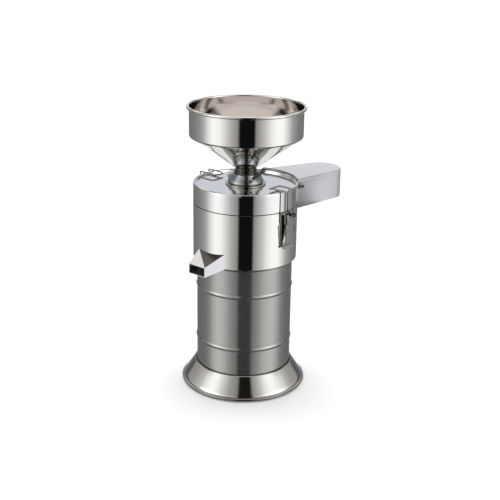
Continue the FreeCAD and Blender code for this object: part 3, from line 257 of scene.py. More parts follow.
def build_room():
    """World shader that joins the light values by the direction and kind of each ray."""
    world = bpy.data.worlds.new("studio")
    bpy.context.scene.world = world
    world.use_nodes = True
    tree = world.node_tree
    tree.nodes.clear()
    coordinates = tree.nodes.new("ShaderNodeTexCoord")
    turned = tree.nodes.new("ShaderNodeMapping")
    turned.inputs["Rotation"].default_value[2] = -math.radians(CAMERA_SIDE)
    tree.links.new(coordinates.outputs["Generated"], turned.inputs["Vector"])
    split = tree.nodes.new("ShaderNodeSeparateXYZ")
    tree.links.new(turned.outputs["Vector"], split.inputs[0])
    towards, aside, rise = split.outputs
    around = add_math(tree, "ARCTAN2", aside, towards)
    share = add_math(tree, "MULTIPLY_ADD", around, 1 / math.tau, 0.5)
    low = add_ramp(tree, ROUND_LOW)
    high = add_ramp(tree, ROUND_HIGH)
    tree.links.new(share, low.inputs[0])
    tree.links.new(share, high.inputs[0])
    walls = colour_mix(tree, add_smooth(tree, rise, *HORIZON), low.outputs[0], high.outputs[0])
    shaded = colour_mix(tree, 1.0, walls, add_height_ramp(tree, rise, BY_HEIGHT), "MULTIPLY")
    away = add_math(tree, "MULTIPLY", towards, -1.0)
    behind = add_smooth(tree, away, *WINDOW_BEHIND)
    window = add_math(tree, "MULTIPLY", behind, add_smooth(tree, rise, *WINDOW_RISE))
    room = colour_mix(tree, window, shaded, BACK_WINDOW)
    room = colour_mix(tree, add_smooth(tree, rise, *CEILING_RISE), room, OVERHEAD)
    path = tree.nodes.new("ShaderNodeLightPath")
    seen = colour_mix(tree, path.outputs["Is Camera Ray"], room, BACKGROUND)
    seen = colour_mix(tree, path.outputs["Diffuse Depth"], seen, CAUGHT_LIGHT)
    forward = add_smooth(tree, towards, *LIGHT_TURNS)
    soft_light = colour_mix(tree, forward, BACK_LIGHT, FRONT_LIGHT)
    seen = colour_mix(tree, path.outputs["Is Diffuse Ray"], seen, soft_light)
    shade = tree.nodes.new("ShaderNodeBackground")
    shade.inputs["Strength"].default_value = 1.0
    tree.links.new(seen, shade.inputs["Color"])
    output = tree.nodes.new("ShaderNodeOutputWorld")
    tree.links.new(shade.outputs[0], output.inputs["Surface"])


build_room()
print("camera side of the room", round(CAMERA_SIDE, 1), "degrees")

# %% [markdown]
# ## Floor
# The floor is a pale matt sheet that catches the soft shadow under the base. It is hidden from
# mirror rays, so the polished steel shows the room's values only and not the sheet.

# %% Lay the floor
FLOOR_HALF = 20.0
bpy.ops.object.select_all(action="DESELECT")
bpy.ops.mesh.primitive_plane_add(size=FLOOR_HALF * 2, location=(0, 0, 0))
floor = bpy.context.object
floor.name = "studio_floor"
floor_paint = bpy.data.materials.new("pale_floor")
floor_paint.use_nodes = True
floor_shader = floor_paint.node_tree.nodes["Principled BSDF"]
floor_shader.inputs["Base Color"].default_value = (0.93, 0.93, 0.93, 1)
floor_shader.inputs["Roughness"].default_value = 0.9
floor_shader.inputs["Specular IOR Level"].default_value = 0.0
floor.data.materials.append(floor_paint)
floor.visible_glossy = False
print("floor", FLOOR_HALF * 2, "m wide")

# %% [markdown]
# ## Lamps
# Nearly all light comes from the room, as in a light tent. Two large lamps, one overhead and one
# in front, only help a little. They are hidden from mirror rays as well.

# %% Hang the lamps


def hang_lamp(name, place, aim, width, power):
    """Square lamp at a place, turned to the aim, with its power in watts."""
    lamp_data = bpy.data.lights.new(name, "AREA")
    lamp_data.size = width
    lamp_data.energy = power
    lamp = bpy.data.objects.new(name, lamp_data)
    bpy.context.scene.collection.objects.link(lamp)
    lamp.location = place
    lamp.rotation_euler = (Vector(aim) - Vector(place)).to_track_quat("-Z", "Y").to_euler()
    lamp.visible_glossy = False


hang_lamp("overhead_lamp", (0.3, -0.3, 2.6), (0, 0, 0.2), width=2.2, power=9)
hang_lamp("front_lamp", (1.2, -2.4, 1.6), (0, 0, 0.3), width=1.6, power=3)

# %% [markdown]
# ## Buff marks
# A buffed sheet is never quite even, so its gloss drifts from place to place. Many finishes need
# that, so it is a node group, built once and placed in each metal with its own values. The first
# helper makes a finish with plain values to start from.

# %% Buff marks


def new_finish(name, colour, roughness, metallic):
    """Finish with plain values, and its shader to build on."""
    finish = bpy.data.materials.new(name)
    finish.use_nodes = True
    shader = finish.node_tree.nodes["Principled BSDF"]
    shader.inputs["Base Color"].default_value = (*colour, 1)
    shader.inputs["Roughness"].default_value = roughness
    shader.inputs["Metallic"].default_value = metallic
    return finish, shader


def buff_marks_group():
    """Uneven gloss of a buffed sheet: roughness that drifts between two values."""
    group = bpy.data.node_groups.new("buff_marks", "ShaderNodeTree")
    group.interface.new_socket("Smooth", in_out="INPUT", socket_type="NodeSocketFloat")
    group.interface.new_socket("Rough", in_out="INPUT", socket_type="NodeSocketFloat")
    group.interface.new_socket("Scale", in_out="INPUT", socket_type="NodeSocketFloat")
    group.interface.new_socket("Stretch", in_out="INPUT", socket_type="NodeSocketVector")
    group.interface.new_socket("Roughness", in_out="OUTPUT", socket_type="NodeSocketFloat")
    group.interface.new_socket("Grain", in_out="OUTPUT", socket_type="NodeSocketFloat")
    entry = group.nodes.new("NodeGroupInput")
    leave = group.nodes.new("NodeGroupOutput")
    coordinates = group.nodes.new("ShaderNodeTexCoord")
    stretched = group.nodes.new("ShaderNodeVectorMath")
    stretched.operation = "MULTIPLY"
    group.links.new(coordinates.outputs["Object"], stretched.inputs[0])
    group.links.new(entry.outputs["Stretch"], stretched.inputs[1])
    noise = group.nodes.new("ShaderNodeTexNoise")
    noise.inputs["Detail"].default_value = 3.0
    group.links.new(stretched.outputs[0], noise.inputs["Vector"])
    group.links.new(entry.outputs["Scale"], noise.inputs["Scale"])
    spread = group.nodes.new("ShaderNodeMapRange")
    spread.inputs["From Min"].default_value = 0.3
    spread.inputs["From Max"].default_value = 0.7
    group.links.new(noise.outputs["Fac"], spread.inputs["Value"])
    group.links.new(entry.outputs["Smooth"], spread.inputs["To Min"])
    group.links.new(entry.outputs["Rough"], spread.inputs["To Max"])
    group.links.new(spread.outputs["Result"], leave.inputs["Roughness"])
    group.links.new(noise.outputs["Fac"], leave.inputs["Grain"])
    return group


BUFF_MARKS = buff_marks_group()
print("group", BUFF_MARKS.name)

# %% [markdown]
# ## Metals
# Each metal is one row with its colour, its two values of roughness, and the size and stretch of
# its marks. Metals reflect everything, so Metallic is 1 and the base colour tints the reflection.
# Satin and matt sheets keep a small share of plain colour, so theirs is a little lower. The darker
# metals are painted shade: they stand for faces that see only other metal, such as a bead, a fold
# or a narrow joint. The one for narrow joints is also the collar's own finish.

# %% Metals
BRUSH_DEPTH = 0.0002


def metal(name, colour, smooth, rough, scale, stretch=(1, 1, 1), grain=0.0, metallic=1.0):
    """Metal finish with uneven gloss and, where grain is given, a fine brushed relief."""
    finish, shader = new_finish(name, colour, smooth, metallic)
    tree = finish.node_tree
    marks = tree.nodes.new("ShaderNodeGroup")
    marks.node_tree = BUFF_MARKS
    marks.inputs["Smooth"].default_value = smooth
    marks.inputs["Rough"].default_value = rough
    marks.inputs["Scale"].default_value = scale
    marks.inputs["Stretch"].default_value = stretch
    tree.links.new(marks.outputs["Roughness"], shader.inputs["Roughness"])
    if grain:
        bump = tree.nodes.new("ShaderNodeBump")
        bump.inputs["Strength"].default_value = grain
        bump.inputs["Distance"].default_value = BRUSH_DEPTH
        tree.links.new(marks.outputs["Grain"], bump.inputs["Height"])
        tree.links.new(bump.outputs["Normal"], shader.inputs["Normal"])
    return finish


METALS = {
    "mirror_steel": ((0.80, 0.79, 0.775), 0.03, 0.05, 22),
    "lid_steel": ((0.78, 0.785, 0.79), 0.03, 0.055, 22),
    "satin_steel": ((0.39, 0.387, 0.38), 0.12, 0.16, 60, (1, 1, 14), 0.03, 0.90),
    "skirt_steel": ((0.76, 0.755, 0.74), 0.05, 0.09, 30),
    "bowl_steel": ((0.79, 0.765, 0.745), 0.07, 0.09, 24),
    # Painted shade: the bead's darker finish.
    "bead_painted_shade": ((0.34, 0.33, 0.315), 0.08, 0.12, 40),
    "chute_steel": ((0.70, 0.71, 0.745), 0.34, 0.42, 50, (1, 1, 6), 0.03, 0.72),
    "spout_steel": ((0.66, 0.655, 0.69), 0.14, 0.22, 40, (1, 1, 1), 0.0, 0.94),
    # Painted shade: the half of the spout's top behind the fold.
    "spout_shade": ((0.10, 0.092, 0.085), 0.24, 0.34, 40),
    "cast_grey": ((0.36, 0.385, 0.405), 0.15, 0.22, 50, (1, 1, 16), 0.25),
    # The collar's own dark finish, also painted shade at the lid's joint, the throat and the base's
    # lip.
    "turned_dark": ((0.11, 0.107, 0.09), 0.13, 0.20, 60),
    "warm_flange": ((0.46, 0.42, 0.36), 0.08, 0.13, 60),
    "wire_steel": ((0.30, 0.29, 0.27), 0.18, 0.28, 90),
    "plain_steel": ((0.58, 0.58, 0.59), 0.24, 0.34, 80),
    "latch_steel": ((0.42, 0.41, 0.39), 0.16, 0.24, 60),
    "cast_aluminium": ((0.66, 0.67, 0.69), 0.34, 0.48, 140, (1, 1, 1), 0.2),
    "grip_steel": ((0.13, 0.13, 0.13), 0.22, 0.34, 90),
}
FINISHES = {name: metal(name, *values) for name, values in METALS.items()}
print("metals", len(FINISHES))

# %% [markdown]
# ## Plastic, rubber, stone and paint
# These are not metals, so they keep a colour of their own. A fine noise mottles it a little.

# %% Other finishes
MOTTLE_SCALE = 240.0


def plain(name, colour, roughness, spots):
    """Plastic, rubber, stone or varnish with a slight mottle."""
    finish, shader = new_finish(name, colour, roughness, 0.0)
    tree = finish.node_tree
    coordinates = tree.nodes.new("ShaderNodeTexCoord")
    noise = tree.nodes.new("ShaderNodeTexNoise")
    noise.inputs["Scale"].default_value = MOTTLE_SCALE
    tree.links.new(coordinates.outputs["Object"], noise.inputs["Vector"])
    dark = tuple(c * (1 - spots) for c in colour)
    mottled = colour_mix(tree, noise.outputs["Fac"], colour, dark)
    tree.links.new(mottled, shader.inputs["Base Color"])
    return finish


PLAIN_FINISHES = {
    "black_plastic": ((0.012, 0.012, 0.013), 0.35, 0.2),
    "black_rubber": ((0.015, 0.015, 0.015), 0.7, 0.3),
    "pale_rubber": ((0.72, 0.71, 0.68), 0.6, 0.1),
    "abrasive_stone": ((0.16, 0.15, 0.14), 0.95, 0.5),
    "copper_varnish": ((0.45, 0.16, 0.06), 0.3, 0.3),
    "grey_paint": ((0.09, 0.095, 0.10), 0.5, 0.1),
    "capacitor_white": ((0.62, 0.62, 0.58), 0.45, 0.05),
}
for name, values in PLAIN_FINISHES.items():
    FINISHES[name] = plain(name, *values)
print("finishes", len(FINISHES))

# %% [markdown]
# ## Which part has which finish
# One list per finish. The frame's record says which body each sub-part moves with, and that is
# looked up at the same time.

# %% Choose finishes
FINISH_OF = {
    "mirror_steel": ["upper_casing", "hopper"],
    "lid_steel": ["lid"],
    "satin_steel": ["lower_casing", "slinger", "basket", "sieve_screen", "motor_shaft"],
    "skirt_steel": ["base_skirt"],
    "chute_steel": ["residue_chute"],
    "spout_steel": ["milk_spout"],
    "cast_grey": ["adjusting_ring"],
    "turned_dark": ["hopper_collar"],
    "warm_flange": ["lid_neck"],
    "wire_steel": ["latch_bail_right", "latch_bail_left", "chute_weld"],
    "plain_steel": [
        "foot_screws", "motor_bolts", "motor_bearings", "stator_core", "rotor_core",
        "capacitor_clip", "stone_nut", "stone_bolts", "ring_lever", "ring_lock_screw",
    ],
    "latch_steel": [
        "latch_bracket_right", "latch_bracket_left", "latch_lever_right", "latch_lever_left",
    ],
    "cast_aluminium": ["motor_plate", "motor_shell", "stone_carrier"],
    "grip_steel": ["lever_grip", "chute_screws"],
    "black_plastic": ["switch_frame", "switch_rocker", "cable_gland", "cooling_fan"],
    "black_rubber": ["rubber_feet"],
    "pale_rubber": ["lid_gasket"],
    "abrasive_stone": ["lower_stone", "upper_stone"],
    "copper_varnish": ["stator_windings"],
    "grey_paint": ["base_plate"],
    "capacitor_white": ["capacitor"],
}
BODY_OF = {node: body for body, members in bodies.items() for node in members}
finish_name = {node: name for name, group in FINISH_OF.items() for node in group}
missing = sorted(set(nodes) - set(finish_name))
print("nodes with no finish", missing)

# %% [markdown]
# ## Drawing a line
# A turned sheet starts as one point. The point is extruded along the sheet's cross-section and
# the finished line is spun about the shaft's axis. That is how a spinner would draw it, and it
# gives even strips of quads, which a mirror finish needs. These helpers draw the line.

# %% Drawing a line
MM = 0.001


def arc(centre, radius, start, end, count):
    """Points of an arc in a cross-section, angles in degrees."""
    points = []
    for number in range(count + 1):
        angle = math.radians(start + (end - start) * number / count)
        points.append((centre[0] + radius * math.cos(angle), centre[1] + radius * math.sin(angle)))
    return points


def clear_selection():
    """Leave edit mode and select nothing."""
    if bpy.context.mode != "OBJECT":
        bpy.ops.object.mode_set(mode="OBJECT")
    bpy.ops.object.select_all(action="DESELECT")


def start_point(name, place):
    """New mesh in edit mode that holds a single selected point."""
    clear_selection()
    bpy.ops.mesh.primitive_plane_add(size=0.01)
    piece = bpy.context.object
    piece.name = name
    bpy.ops.object.mode_set(mode="EDIT")
    bpy.ops.mesh.select_all(action="SELECT")
    bpy.ops.mesh.merge(type="CENTER")
    bpy.ops.transform.translate(value=place)
    return piece


def draw_line(name, points):
    """A new mesh in edit mode with one line through the points."""
    points = [Vector(point) for point in points]
    piece = start_point(name, points[0])
    for before, after in zip(points, points[1:]):
        bpy.ops.mesh.extrude_vertices_move(TRANSFORM_OT_translate={"value": after - before})
    return piece


print("drawing unit", MM, "m")

# %% [markdown]
# ## Edges and finish
# Doubled points are merged and the faces turned outwards. Then a piece is shaded smooth up to an
# angle, gets its finish and rides on its body. Some faces get a second, darker finish: they are
# picked by the place of their middle and the way they face.

# %% Edges and finish
DOUBLES = 0.00001
SHARP_ANGLE = math.radians(28)
SMOOTH_ANGLE = math.radians(32)
BEVEL_SEGMENTS = 3
finished = set()


def tidy_solid():
    """Merge the doubled points of the piece in edit mode and turn its faces outwards."""
    bpy.ops.mesh.select_all(action="SELECT")
    bpy.ops.mesh.remove_doubles(threshold=DOUBLES)
    bpy.ops.mesh.normals_make_consistent(inside=False)


def bevel_sharp(offset):
    """Bevel every edge whose faces meet at more than the sharp angle."""
    bpy.ops.mesh.select_all(action="DESELECT")
    bpy.ops.mesh.select_mode(type="EDGE")
    bpy.ops.mesh.edges_select_sharp(sharpness=SHARP_ANGLE)
    bpy.ops.mesh.bevel(
        offset=offset, segments=BEVEL_SEGMENTS, affect="EDGES", clamp_overlap=True,
    )
    bpy.ops.mesh.select_mode(type="VERT")


def finish_piece(piece, node):
    """Shade a piece, give it its finish and let it stand for a sub-part of the frame."""
    clear_selection()
    piece.select_set(True)
    bpy.context.view_layer.objects.active = piece
    bpy.ops.object.shade_smooth_by_angle(angle=SMOOTH_ANGLE)
    piece.data.materials.clear()
    piece.data.materials.append(FINISHES[finish_name[node]])
    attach(piece, BODY_OF[node])
    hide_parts(node)
    finished.add(node)
    return piece


def tint_faces(piece, finish, wanted):
    """Give one more finish to the faces that the test on middle and normal picks."""
    piece.data.materials.append(FINISHES[finish])
    for face in piece.data.polygons:
        if wanted(face.center, face.normal):
            face.material_index = len(piece.data.materials) - 1


print("smooth up to", round(math.degrees(SMOOTH_ANGLE)), "degrees")

# %% [markdown]
# ## Spinning
# A smooth face borrows its shading from its corners, so a long face next to a tight bend would
# shade as if it were bent all over. A point close to both ends of each long line holds the bend
# in its place.

# %% Spinning
DRUM_STEPS = 180
SMALL_STEPS = 96
HOLD = 0.7


def held(profile):
    """Cross-section with a point added near both ends of each long line, to keep its face flat."""
    points = []
    for start, end in zip(profile, profile[1:] + profile[:1]):
        points.append(start)
        length = math.dist(start, end)
        if length > 4 * HOLD:
            for share in (HOLD / length, 1 - HOLD / length):
                points.append(tuple(a + (b - a) * share for a, b in zip(start, end)))
    return points


def spun(name, profile, steps=DRUM_STEPS, bevel=0.0):
    """Turned sheet from a cross-section of (radius, height) in millimetres, left in edit mode."""
    outline = profile if bevel else held(profile)
    points = [(radius * MM, 0, height * MM) for radius, height in outline]
    points.append(points[0])
    piece = draw_line(name, points)
    bpy.ops.mesh.select_all(action="SELECT")
    bpy.ops.mesh.spin(steps=steps, angle=math.tau, center=(0, 0, 0), axis=(0, 0, 1))
    tidy_solid()
    if bevel:
        bevel_sharp(bevel)
    return piece


print("steps round a drum", DRUM_STEPS, "points held", HOLD, "mm from a bend")

# %% [markdown]
# ## Cutting
# Windows and holes are cut with a plain box or rod by a Boolean modifier, which is then applied.

# %% Cutting
ROD_SIDES = 48


def cutter_box(name, turn, low, high):
    """Box from its corners in millimetres in a frame turned about the shaft by some degrees."""
    clear_selection()
    middle = (Vector(low) + Vector(high)) * MM / 2
    bpy.ops.mesh.primitive_cube_add(size=1.0)
    box = bpy.context.object
    box.name = name
    box.matrix_world = (
        Matrix.Rotation(math.radians(turn), 4, "Z")
        @ Matrix.Translation(middle)
        @ Matrix.Diagonal((*((Vector(high) - Vector(low)) * MM), 1))
    )
    bpy.ops.object.transform_apply(location=True, rotation=True, scale=True)
    return box


def cutter_rod(name, turn, start, end, height, radius):
    """Rod that lies along the turned X axis at a height, in millimetres."""
    clear_selection()
    bpy.ops.mesh.primitive_cylinder_add(
        radius=radius * MM, depth=(end - start) * MM, vertices=ROD_SIDES,
    )
    rod = bpy.context.object
    rod.name = name
    rod.matrix_world = (
        Matrix.Rotation(math.radians(turn), 4, "Z")
        @ Matrix.Translation(((start + end) / 2 * MM, 0, height * MM))
        @ Matrix.Rotation(math.pi / 2, 4, "Y")
    )
    bpy.ops.object.transform_apply(location=True, rotation=True, scale=True)
    return rod


def cut_with(piece, cutter):
    """Subtract the cutter from the piece and remove the cutter."""
    clear_selection()
    piece.select_set(True)
    bpy.context.view_layer.objects.active = piece
    opening = piece.modifiers.new("opening", "BOOLEAN")
    opening.operation = "DIFFERENCE"
    opening.solver = "EXACT"
    opening.object = cutter
    bpy.ops.object.modifier_apply(modifier=opening.name)
    bpy.data.objects.remove(cutter)


print("sides of a round cutter", ROD_SIDES)

# %% [markdown]
# ## Hopper
# The bowl is one spun sheet: a throat, a cone, a straight band and a brim rolled outwards round
# a wire. The roll is what the hands hold, and it shows as two bright lines. The inside is a
# little duller than the outside, and the throat sits in the shade of its collar.

# %% Spin the hopper
THROAT_RADIUS = 24.0
HOPPER_RADIUS = 128.0
HOPPER_SHEET = 1.2
BRIM_RADIUS = 3.5
HOPPER_LOW, THROAT_TOP, SHOULDER, BRIM_HEIGHT = 509.9, 516.5, 588.5, 651.5
brim_centre = (HOPPER_RADIUS - HOPPER_SHEET + BRIM_RADIUS, BRIM_HEIGHT)
hopper_profile = [
    (THROAT_RADIUS, HOPPER_LOW),
    (THROAT_RADIUS, THROAT_TOP - 1.4),
    (THROAT_RADIUS + 0.8, THROAT_TOP - 0.6),
    (THROAT_RADIUS + 4, THROAT_TOP + 0.9),
    (HOPPER_RADIUS - 4.5, SHOULDER - 4.2),
    (HOPPER_RADIUS - 2.0, SHOULDER - 2.2),
    (HOPPER_RADIUS - 0.5, SHOULDER - 0.2),
    (HOPPER_RADIUS, SHOULDER + 2.0),
    *arc(brim_centre, BRIM_RADIUS, -131, 176, 22),
    (HOPPER_RADIUS - HOPPER_SHEET, SHOULDER + 2.2),
    (HOPPER_RADIUS - HOPPER_SHEET - 0.6, SHOULDER + 0.3),
    (HOPPER_RADIUS - HOPPER_SHEET - 2.2, SHOULDER - 1.5),
    (THROAT_RADIUS + 3.4, THROAT_TOP + 2.1),
    (THROAT_RADIUS - HOPPER_SHEET, THROAT_TOP - 0.4),
    (THROAT_RADIUS - HOPPER_SHEET, HOPPER_LOW),
]
hopper = spun("hopper_bowl", hopper_profile)
finish_piece(hopper, "hopper")
tint_faces(
    hopper, "bowl_steel",
    lambda middle, normal: normal.xy.dot(middle.xy) < 0 and middle.z < BRIM_HEIGHT * MM,
)
# Painted shade: the outside of the throat next to the collar gets the dark finish.
tint_faces(
    hopper, "turned_dark",
    lambda middle, normal: normal.xy.dot(middle.xy) > 0 and middle.z < (THROAT_TOP + 0.8) * MM,
)
print("hopper faces", len(hopper.data.polygons))

# %% [markdown]
# ## Collar
# A turned plug under the hopper centres it on the setting ring. Its edges are bevelled, so each
# step of the stack catches a thin light.

# %% Turn the collar
COLLAR_LOW = 503.4
collar_profile = [
    (16.5, COLLAR_LOW - 23), (18.2, COLLAR_LOW - 23), (18.2, COLLAR_LOW), (27.0, COLLAR_LOW),
    (27.0, COLLAR_LOW + 2.8), (24.6, COLLAR_LOW + 3.6), (24.6, COLLAR_LOW + 6.2),
    (22.5, COLLAR_LOW + 6.2), (22.5, 513.9), (21.3, 513.9),
    (16.5, COLLAR_LOW - 3),
]
collar = spun("throat_collar", collar_profile, SMALL_STEPS, 0.7)
finish_piece(collar, "hopper_collar")
print("collar faces", len(collar.data.polygons))

# %% [markdown]
# ## Lid
# The lid is a shallow pan turned upside down. Its edge is rolled into a rim and its flat plate is
# sunk inside that rim. A window is cut in the band where the residue leaves for the chute. The
# band's lower edge is painted dark: painted shade for the thin dark line of the joint to the
# chamber.

# %% Spin the lid and cut its window
CHAMBER_RADIUS = 119.0
SHEET = 1.5
SEAM, LID_TOP, PLATE_TOP = 436.2, 482.5, 477.0
ROLL_RADIUS = 3.0
CHUTE_TURN = 76.75
WINDOW_HALF = 58.0
SEAM_SHADE = 1.0
roll_centre = (CHAMBER_RADIUS - ROLL_RADIUS, LID_TOP - ROLL_RADIUS)
lid_profile = [
    (24.3, PLATE_TOP - SHEET), (24.3, PLATE_TOP),
    (CHAMBER_RADIUS - 2 * ROLL_RADIUS - 0.3, PLATE_TOP),
    (CHAMBER_RADIUS - 2 * ROLL_RADIUS, PLATE_TOP + 0.3),
    *arc(roll_centre, ROLL_RADIUS, 180, 0, 20),
    (CHAMBER_RADIUS - 0.35, LID_TOP - 4.0), (CHAMBER_RADIUS, LID_TOP - 4.6),
    (CHAMBER_RADIUS, LID_TOP - 5.2), (CHAMBER_RADIUS, SEAM + 1.2), (CHAMBER_RADIUS, SEAM + 0.6),
    (CHAMBER_RADIUS - 0.6, SEAM), (CHAMBER_RADIUS - SHEET, SEAM),
    (CHAMBER_RADIUS - SHEET, PLATE_TOP - SHEET),
]
lid = spun("lid_pan", lid_profile)
lid_window = cutter_box(
    "lid_window", CHUTE_TURN,
    (59, -WINDOW_HALF, SEAM + 3), (129, WINDOW_HALF, PLATE_TOP - 2.5),
)
cut_with(lid, lid_window)
finish_piece(lid, "lid")
# Painted shade along the lid's joint to the chamber.
tint_faces(lid, "turned_dark", lambda middle, normal: middle.z < (SEAM + SEAM_SHADE) * MM)
print("lid faces", len(lid.data.polygons))

# %% [markdown]
# ## Grinding chamber
# The chamber is a deep bowl that steps in at its shoulder to sit on the motor's drum, with a
# tube in the middle for the shaft. The milk leaves through an opening behind the spout.

# %% Spin the chamber and open it to the spout
CASING_RADIUS = 110.0
CASING_TOP = 303.5
BOWL_LOW, BOWL_SHOULDER, TUBE_TOP = 303.8, 310.6, 345.0
SPOUT_TURN = -90.0
SPOUT_OPENING = ((92.5, -34, 312), (152.5, 34, 337.5))
chamber_profile = [
    (22.5, BOWL_LOW), (CASING_RADIUS, BOWL_LOW), (CASING_RADIUS + 1.0, BOWL_LOW + 0.3),
    (CHAMBER_RADIUS - 1.0, BOWL_SHOULDER - 1.4), (CHAMBER_RADIUS - 0.2, BOWL_SHOULDER - 0.4),
    (CHAMBER_RADIUS, BOWL_SHOULDER + 0.6), (CHAMBER_RADIUS, BOWL_SHOULDER + 1.6),
    (CHAMBER_RADIUS, SEAM - 1.6), (CHAMBER_RADIUS, SEAM - 0.9), (CHAMBER_RADIUS - 0.6, SEAM - 0.3),
    (CHAMBER_RADIUS - SHEET, SEAM - 0.3), (CHAMBER_RADIUS - SHEET, BOWL_SHOULDER + 1.2),
    (CASING_RADIUS - 0.6, BOWL_LOW + SHEET), (24.0, BOWL_LOW + SHEET),
    (24.0, TUBE_TOP), (22.5, TUBE_TOP),
]
chamber = spun("grinding_chamber", chamber_profile)
cut_with(chamber, cutter_box("spout_opening", SPOUT_TURN, *SPOUT_OPENING))
finish_piece(chamber, "upper_casing")
# Painted shade along the chamber's joint to the lid.
tint_faces(chamber, "turned_dark", lambda middle, normal: middle.z > (SEAM - SEAM_SHADE) * MM)
print("chamber faces", len(chamber.data.polygons))

# %% [markdown]
# ## Motor drum
# The drum round the motor carries two rolled ribs that stiffen the sheet. At the back it has
# holes for the switch and the cable gland.

# %% Spin the motor drum
RIB_HALF, RIB_RISE = 5.5, 1.7
RIB_HEIGHTS = (113.6, 241.6)
DRUM_LOW = 12.8
SWITCH_TURN = 130.0
SWITCH_MIDDLE, GLAND_HEIGHT = 186.0, 82.0
SWITCH_HALF_WIDTH, SWITCH_HALF_HEIGHT = 13.0, 16.5
GLAND_HOLE_RADIUS = 8.3
CUT_START, CUT_END = 98, 120


def rib_points(height):
    """A rolled rib with soft feet, from below to above."""
    points = []
    for number in range(13):
        share = number / 12
        bulge = (1 - math.cos(share * math.tau)) / 2
        points.append((CASING_RADIUS + RIB_RISE * bulge, height + RIB_HALF * (2 * share - 1)))
    return points


drum_profile = [
    (CASING_RADIUS - SHEET, DRUM_LOW), (CASING_RADIUS, DRUM_LOW),
    *rib_points(RIB_HEIGHTS[0]), *rib_points(RIB_HEIGHTS[1]),
    (CASING_RADIUS, CASING_TOP - 0.5), (CASING_RADIUS - 0.5, CASING_TOP),
    (CASING_RADIUS - SHEET, CASING_TOP),
]
drum = spun("motor_drum", drum_profile)
switch_hole = cutter_box(
    "switch_hole", SWITCH_TURN,
    (CUT_START, -SWITCH_HALF_WIDTH, SWITCH_MIDDLE - SWITCH_HALF_HEIGHT),
    (CUT_END, SWITCH_HALF_WIDTH, SWITCH_MIDDLE + SWITCH_HALF_HEIGHT),
)
cut_with(drum, switch_hole)
gland_hole = cutter_rod(
    "gland_hole", SWITCH_TURN, CUT_START, CUT_END, GLAND_HEIGHT, GLAND_HOLE_RADIUS,
)
cut_with(drum, gland_hole)
finish_piece(drum, "lower_casing")
print("drum faces", len(drum.data.polygons))

# %% [markdown]
# ## Base
# The flared base is spun too. Its foot is rolled into a bead, which gives the double line. The
# bead and the flat lip round the drum get darker finishes than the flare, painted shade, since
# they see mostly the floor and the drum.

# %% Spin the base
BASE_RADIUS = 145.0
NEARLY_FLAT = 0.8
BEAD_RADIUS = 2.5
SKIRT_TOP, FLOOR_RISE, GROUND_GAP = 50.0, 9.5, 3.0
bead_centre = (BASE_RADIUS - BEAD_RADIUS, GROUND_GAP + BEAD_RADIUS)
skirt_profile = [
    (110.3, SKIRT_TOP + 0.5), (113.2, SKIRT_TOP + 0.9), (113.9, SKIRT_TOP + 0.7),
    (114.4, SKIRT_TOP + 0.2), (114.9, SKIRT_TOP - 0.5),
    (120.0, 41.9), (137.0, 15.8), (138.0, 14.2), (139.6, 11.2), (140.6, 8.4),
    *arc(bead_centre, BEAD_RADIUS, 95, -160, 14),
    (138.6, 7.9), (120.5, 7.9), (120.5, 9.5), (137.6, 9.5), (136.2, 13.6), (129.7, 23.6),
    (115.6, 44.4), (112.4, 48.0), (110.3, 49.2),
]
skirt = spun("base_flare", skirt_profile)
finish_piece(skirt, "base_skirt")
# Painted shade on the flat lip round the drum.
tint_faces(
    skirt, "turned_dark",
    lambda middle, normal: normal.z > NEARLY_FLAT and middle.z > (SKIRT_TOP - 0.2) * MM,
)
# Painted shade on the bead at the foot.
tint_faces(
    skirt, "bead_painted_shade",
    lambda middle, normal: middle.xy.length > (BASE_RADIUS - 2 * BEAD_RADIUS) * MM,
)
print("skirt faces", len(skirt.data.polygons))

# %% [markdown]
# ## Neck and adjusting ring
# These are small castings turned on their outside. The neck stands on the lid, and the ring
# climbs its thread to set the gap between the stones.

# %% Turn the neck and the ring
neck_profile = [
    (22.0, 469.5), (24.0, 469.5), (24.0, 477.3), (45.6, 477.3), (45.6, 480.3), (26.0, 480.3),
    (26.0, 498.0), (22.0, 498.0),
]
neck = spun("neck_flange", neck_profile, SMALL_STEPS, 0.5)
finish_piece(neck, "lid_neck")
ring_profile = [
    (26.5, 480.6), (38.0, 480.6), (39.7, 481.1), (40.5, 482.6), (40.5, 484.6), (39.8, 487.0),
    (38.2, 490.0), (35.6, 494.4), (33.2, 498.2), (31.9, 500.4), (30.8, 501.8), (29.6, 502.4),
    (25.5, 502.4), (25.5, 500.0), (22.5, 500.0), (22.5, 498.5), (26.5, 498.5),
]
ring = spun("stone_setting_ring", ring_profile, SMALL_STEPS)
finish_piece(ring, "adjusting_ring")
print("made by hand", sorted(finished))

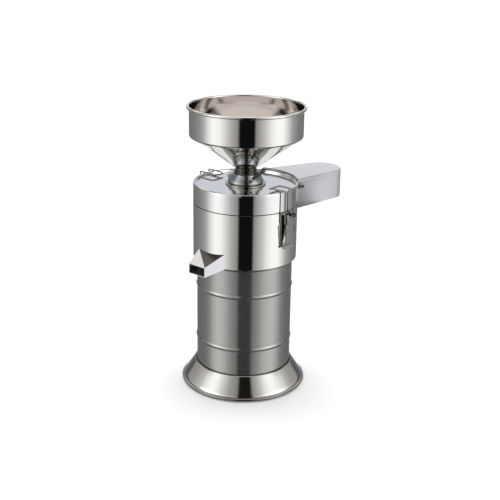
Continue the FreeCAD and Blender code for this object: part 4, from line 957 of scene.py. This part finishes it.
# %% [markdown]
# ## Dressing the frame
# Every sub-part of the frame gets its finish. The frame's meshes are loose triangles with hard
# shading, which would show as flat strips in a mirror. So each one is copied, its doubled
# corners are merged and its faces are shaded smooth up to a small angle, and the copy stands
# for the part.

# %% Smooth copies of the frame's parts
COPY_DOUBLES = 0.00002


def smooth_copy(node):
    """Copy of a frame part with merged corners and smooth shading."""
    source = nodes[node]
    piece = source.copy()
    piece.data = source.data.copy()
    piece.name = "dressed_" + node
    bpy.context.scene.collection.objects.link(piece)
    clear_selection()
    piece.select_set(True)
    bpy.context.view_layer.objects.active = piece
    bpy.ops.object.mode_set(mode="EDIT")
    bpy.ops.mesh.select_all(action="SELECT")
    bpy.ops.mesh.remove_doubles(threshold=COPY_DOUBLES)
    bpy.ops.object.mode_set(mode="OBJECT")
    piece.parent = None
    piece.matrix_world = Matrix.Identity(4)
    return finish_piece(piece, node)


dressed = {}
for node in sorted(nodes):
    nodes[node].data.materials.clear()
    nodes[node].data.materials.append(FINISHES[finish_name[node]])
    if node not in finished:
        dressed[node] = smooth_copy(node)
print("dressed", len(dressed))

# %% [markdown]
# ## Fold in the spout
# The spout's top is folded from its left root to the right end of its lip. The mesh is cut along
# that fold, and the half behind it, which faces the chamber's wall, gets a dark finish: painted
# shade for the wall's dark reflection.

# %% Split the spout's top along its fold
FOLD_START = Vector((-38.0, -112.8, 0.0)) * MM
FOLD_END = Vector((23.6, -161.5, 0.0)) * MM
SPOUT_MIDDLE = 318.0
UPWARDS = 0.5
fold_across = (FOLD_END - FOLD_START).cross(Vector((0, 0, -1))).normalized()
spout = dressed["milk_spout"]
clear_selection()
spout.select_set(True)
bpy.context.view_layer.objects.active = spout
bpy.ops.object.mode_set(mode="EDIT")
bpy.ops.mesh.select_all(action="SELECT")
bpy.ops.mesh.bisect(plane_co=FOLD_START, plane_no=fold_across)
bpy.ops.object.mode_set(mode="OBJECT")
# Painted shade on the half behind the fold.
tint_faces(
    spout, "spout_shade",
    lambda middle, normal: normal.z > UPWARDS and middle.z > SPOUT_MIDDLE * MM
    and (middle - FOLD_START).dot(fold_across) > 0,
)
print("folded faces", sum(face.material_index for face in spout.data.polygons))
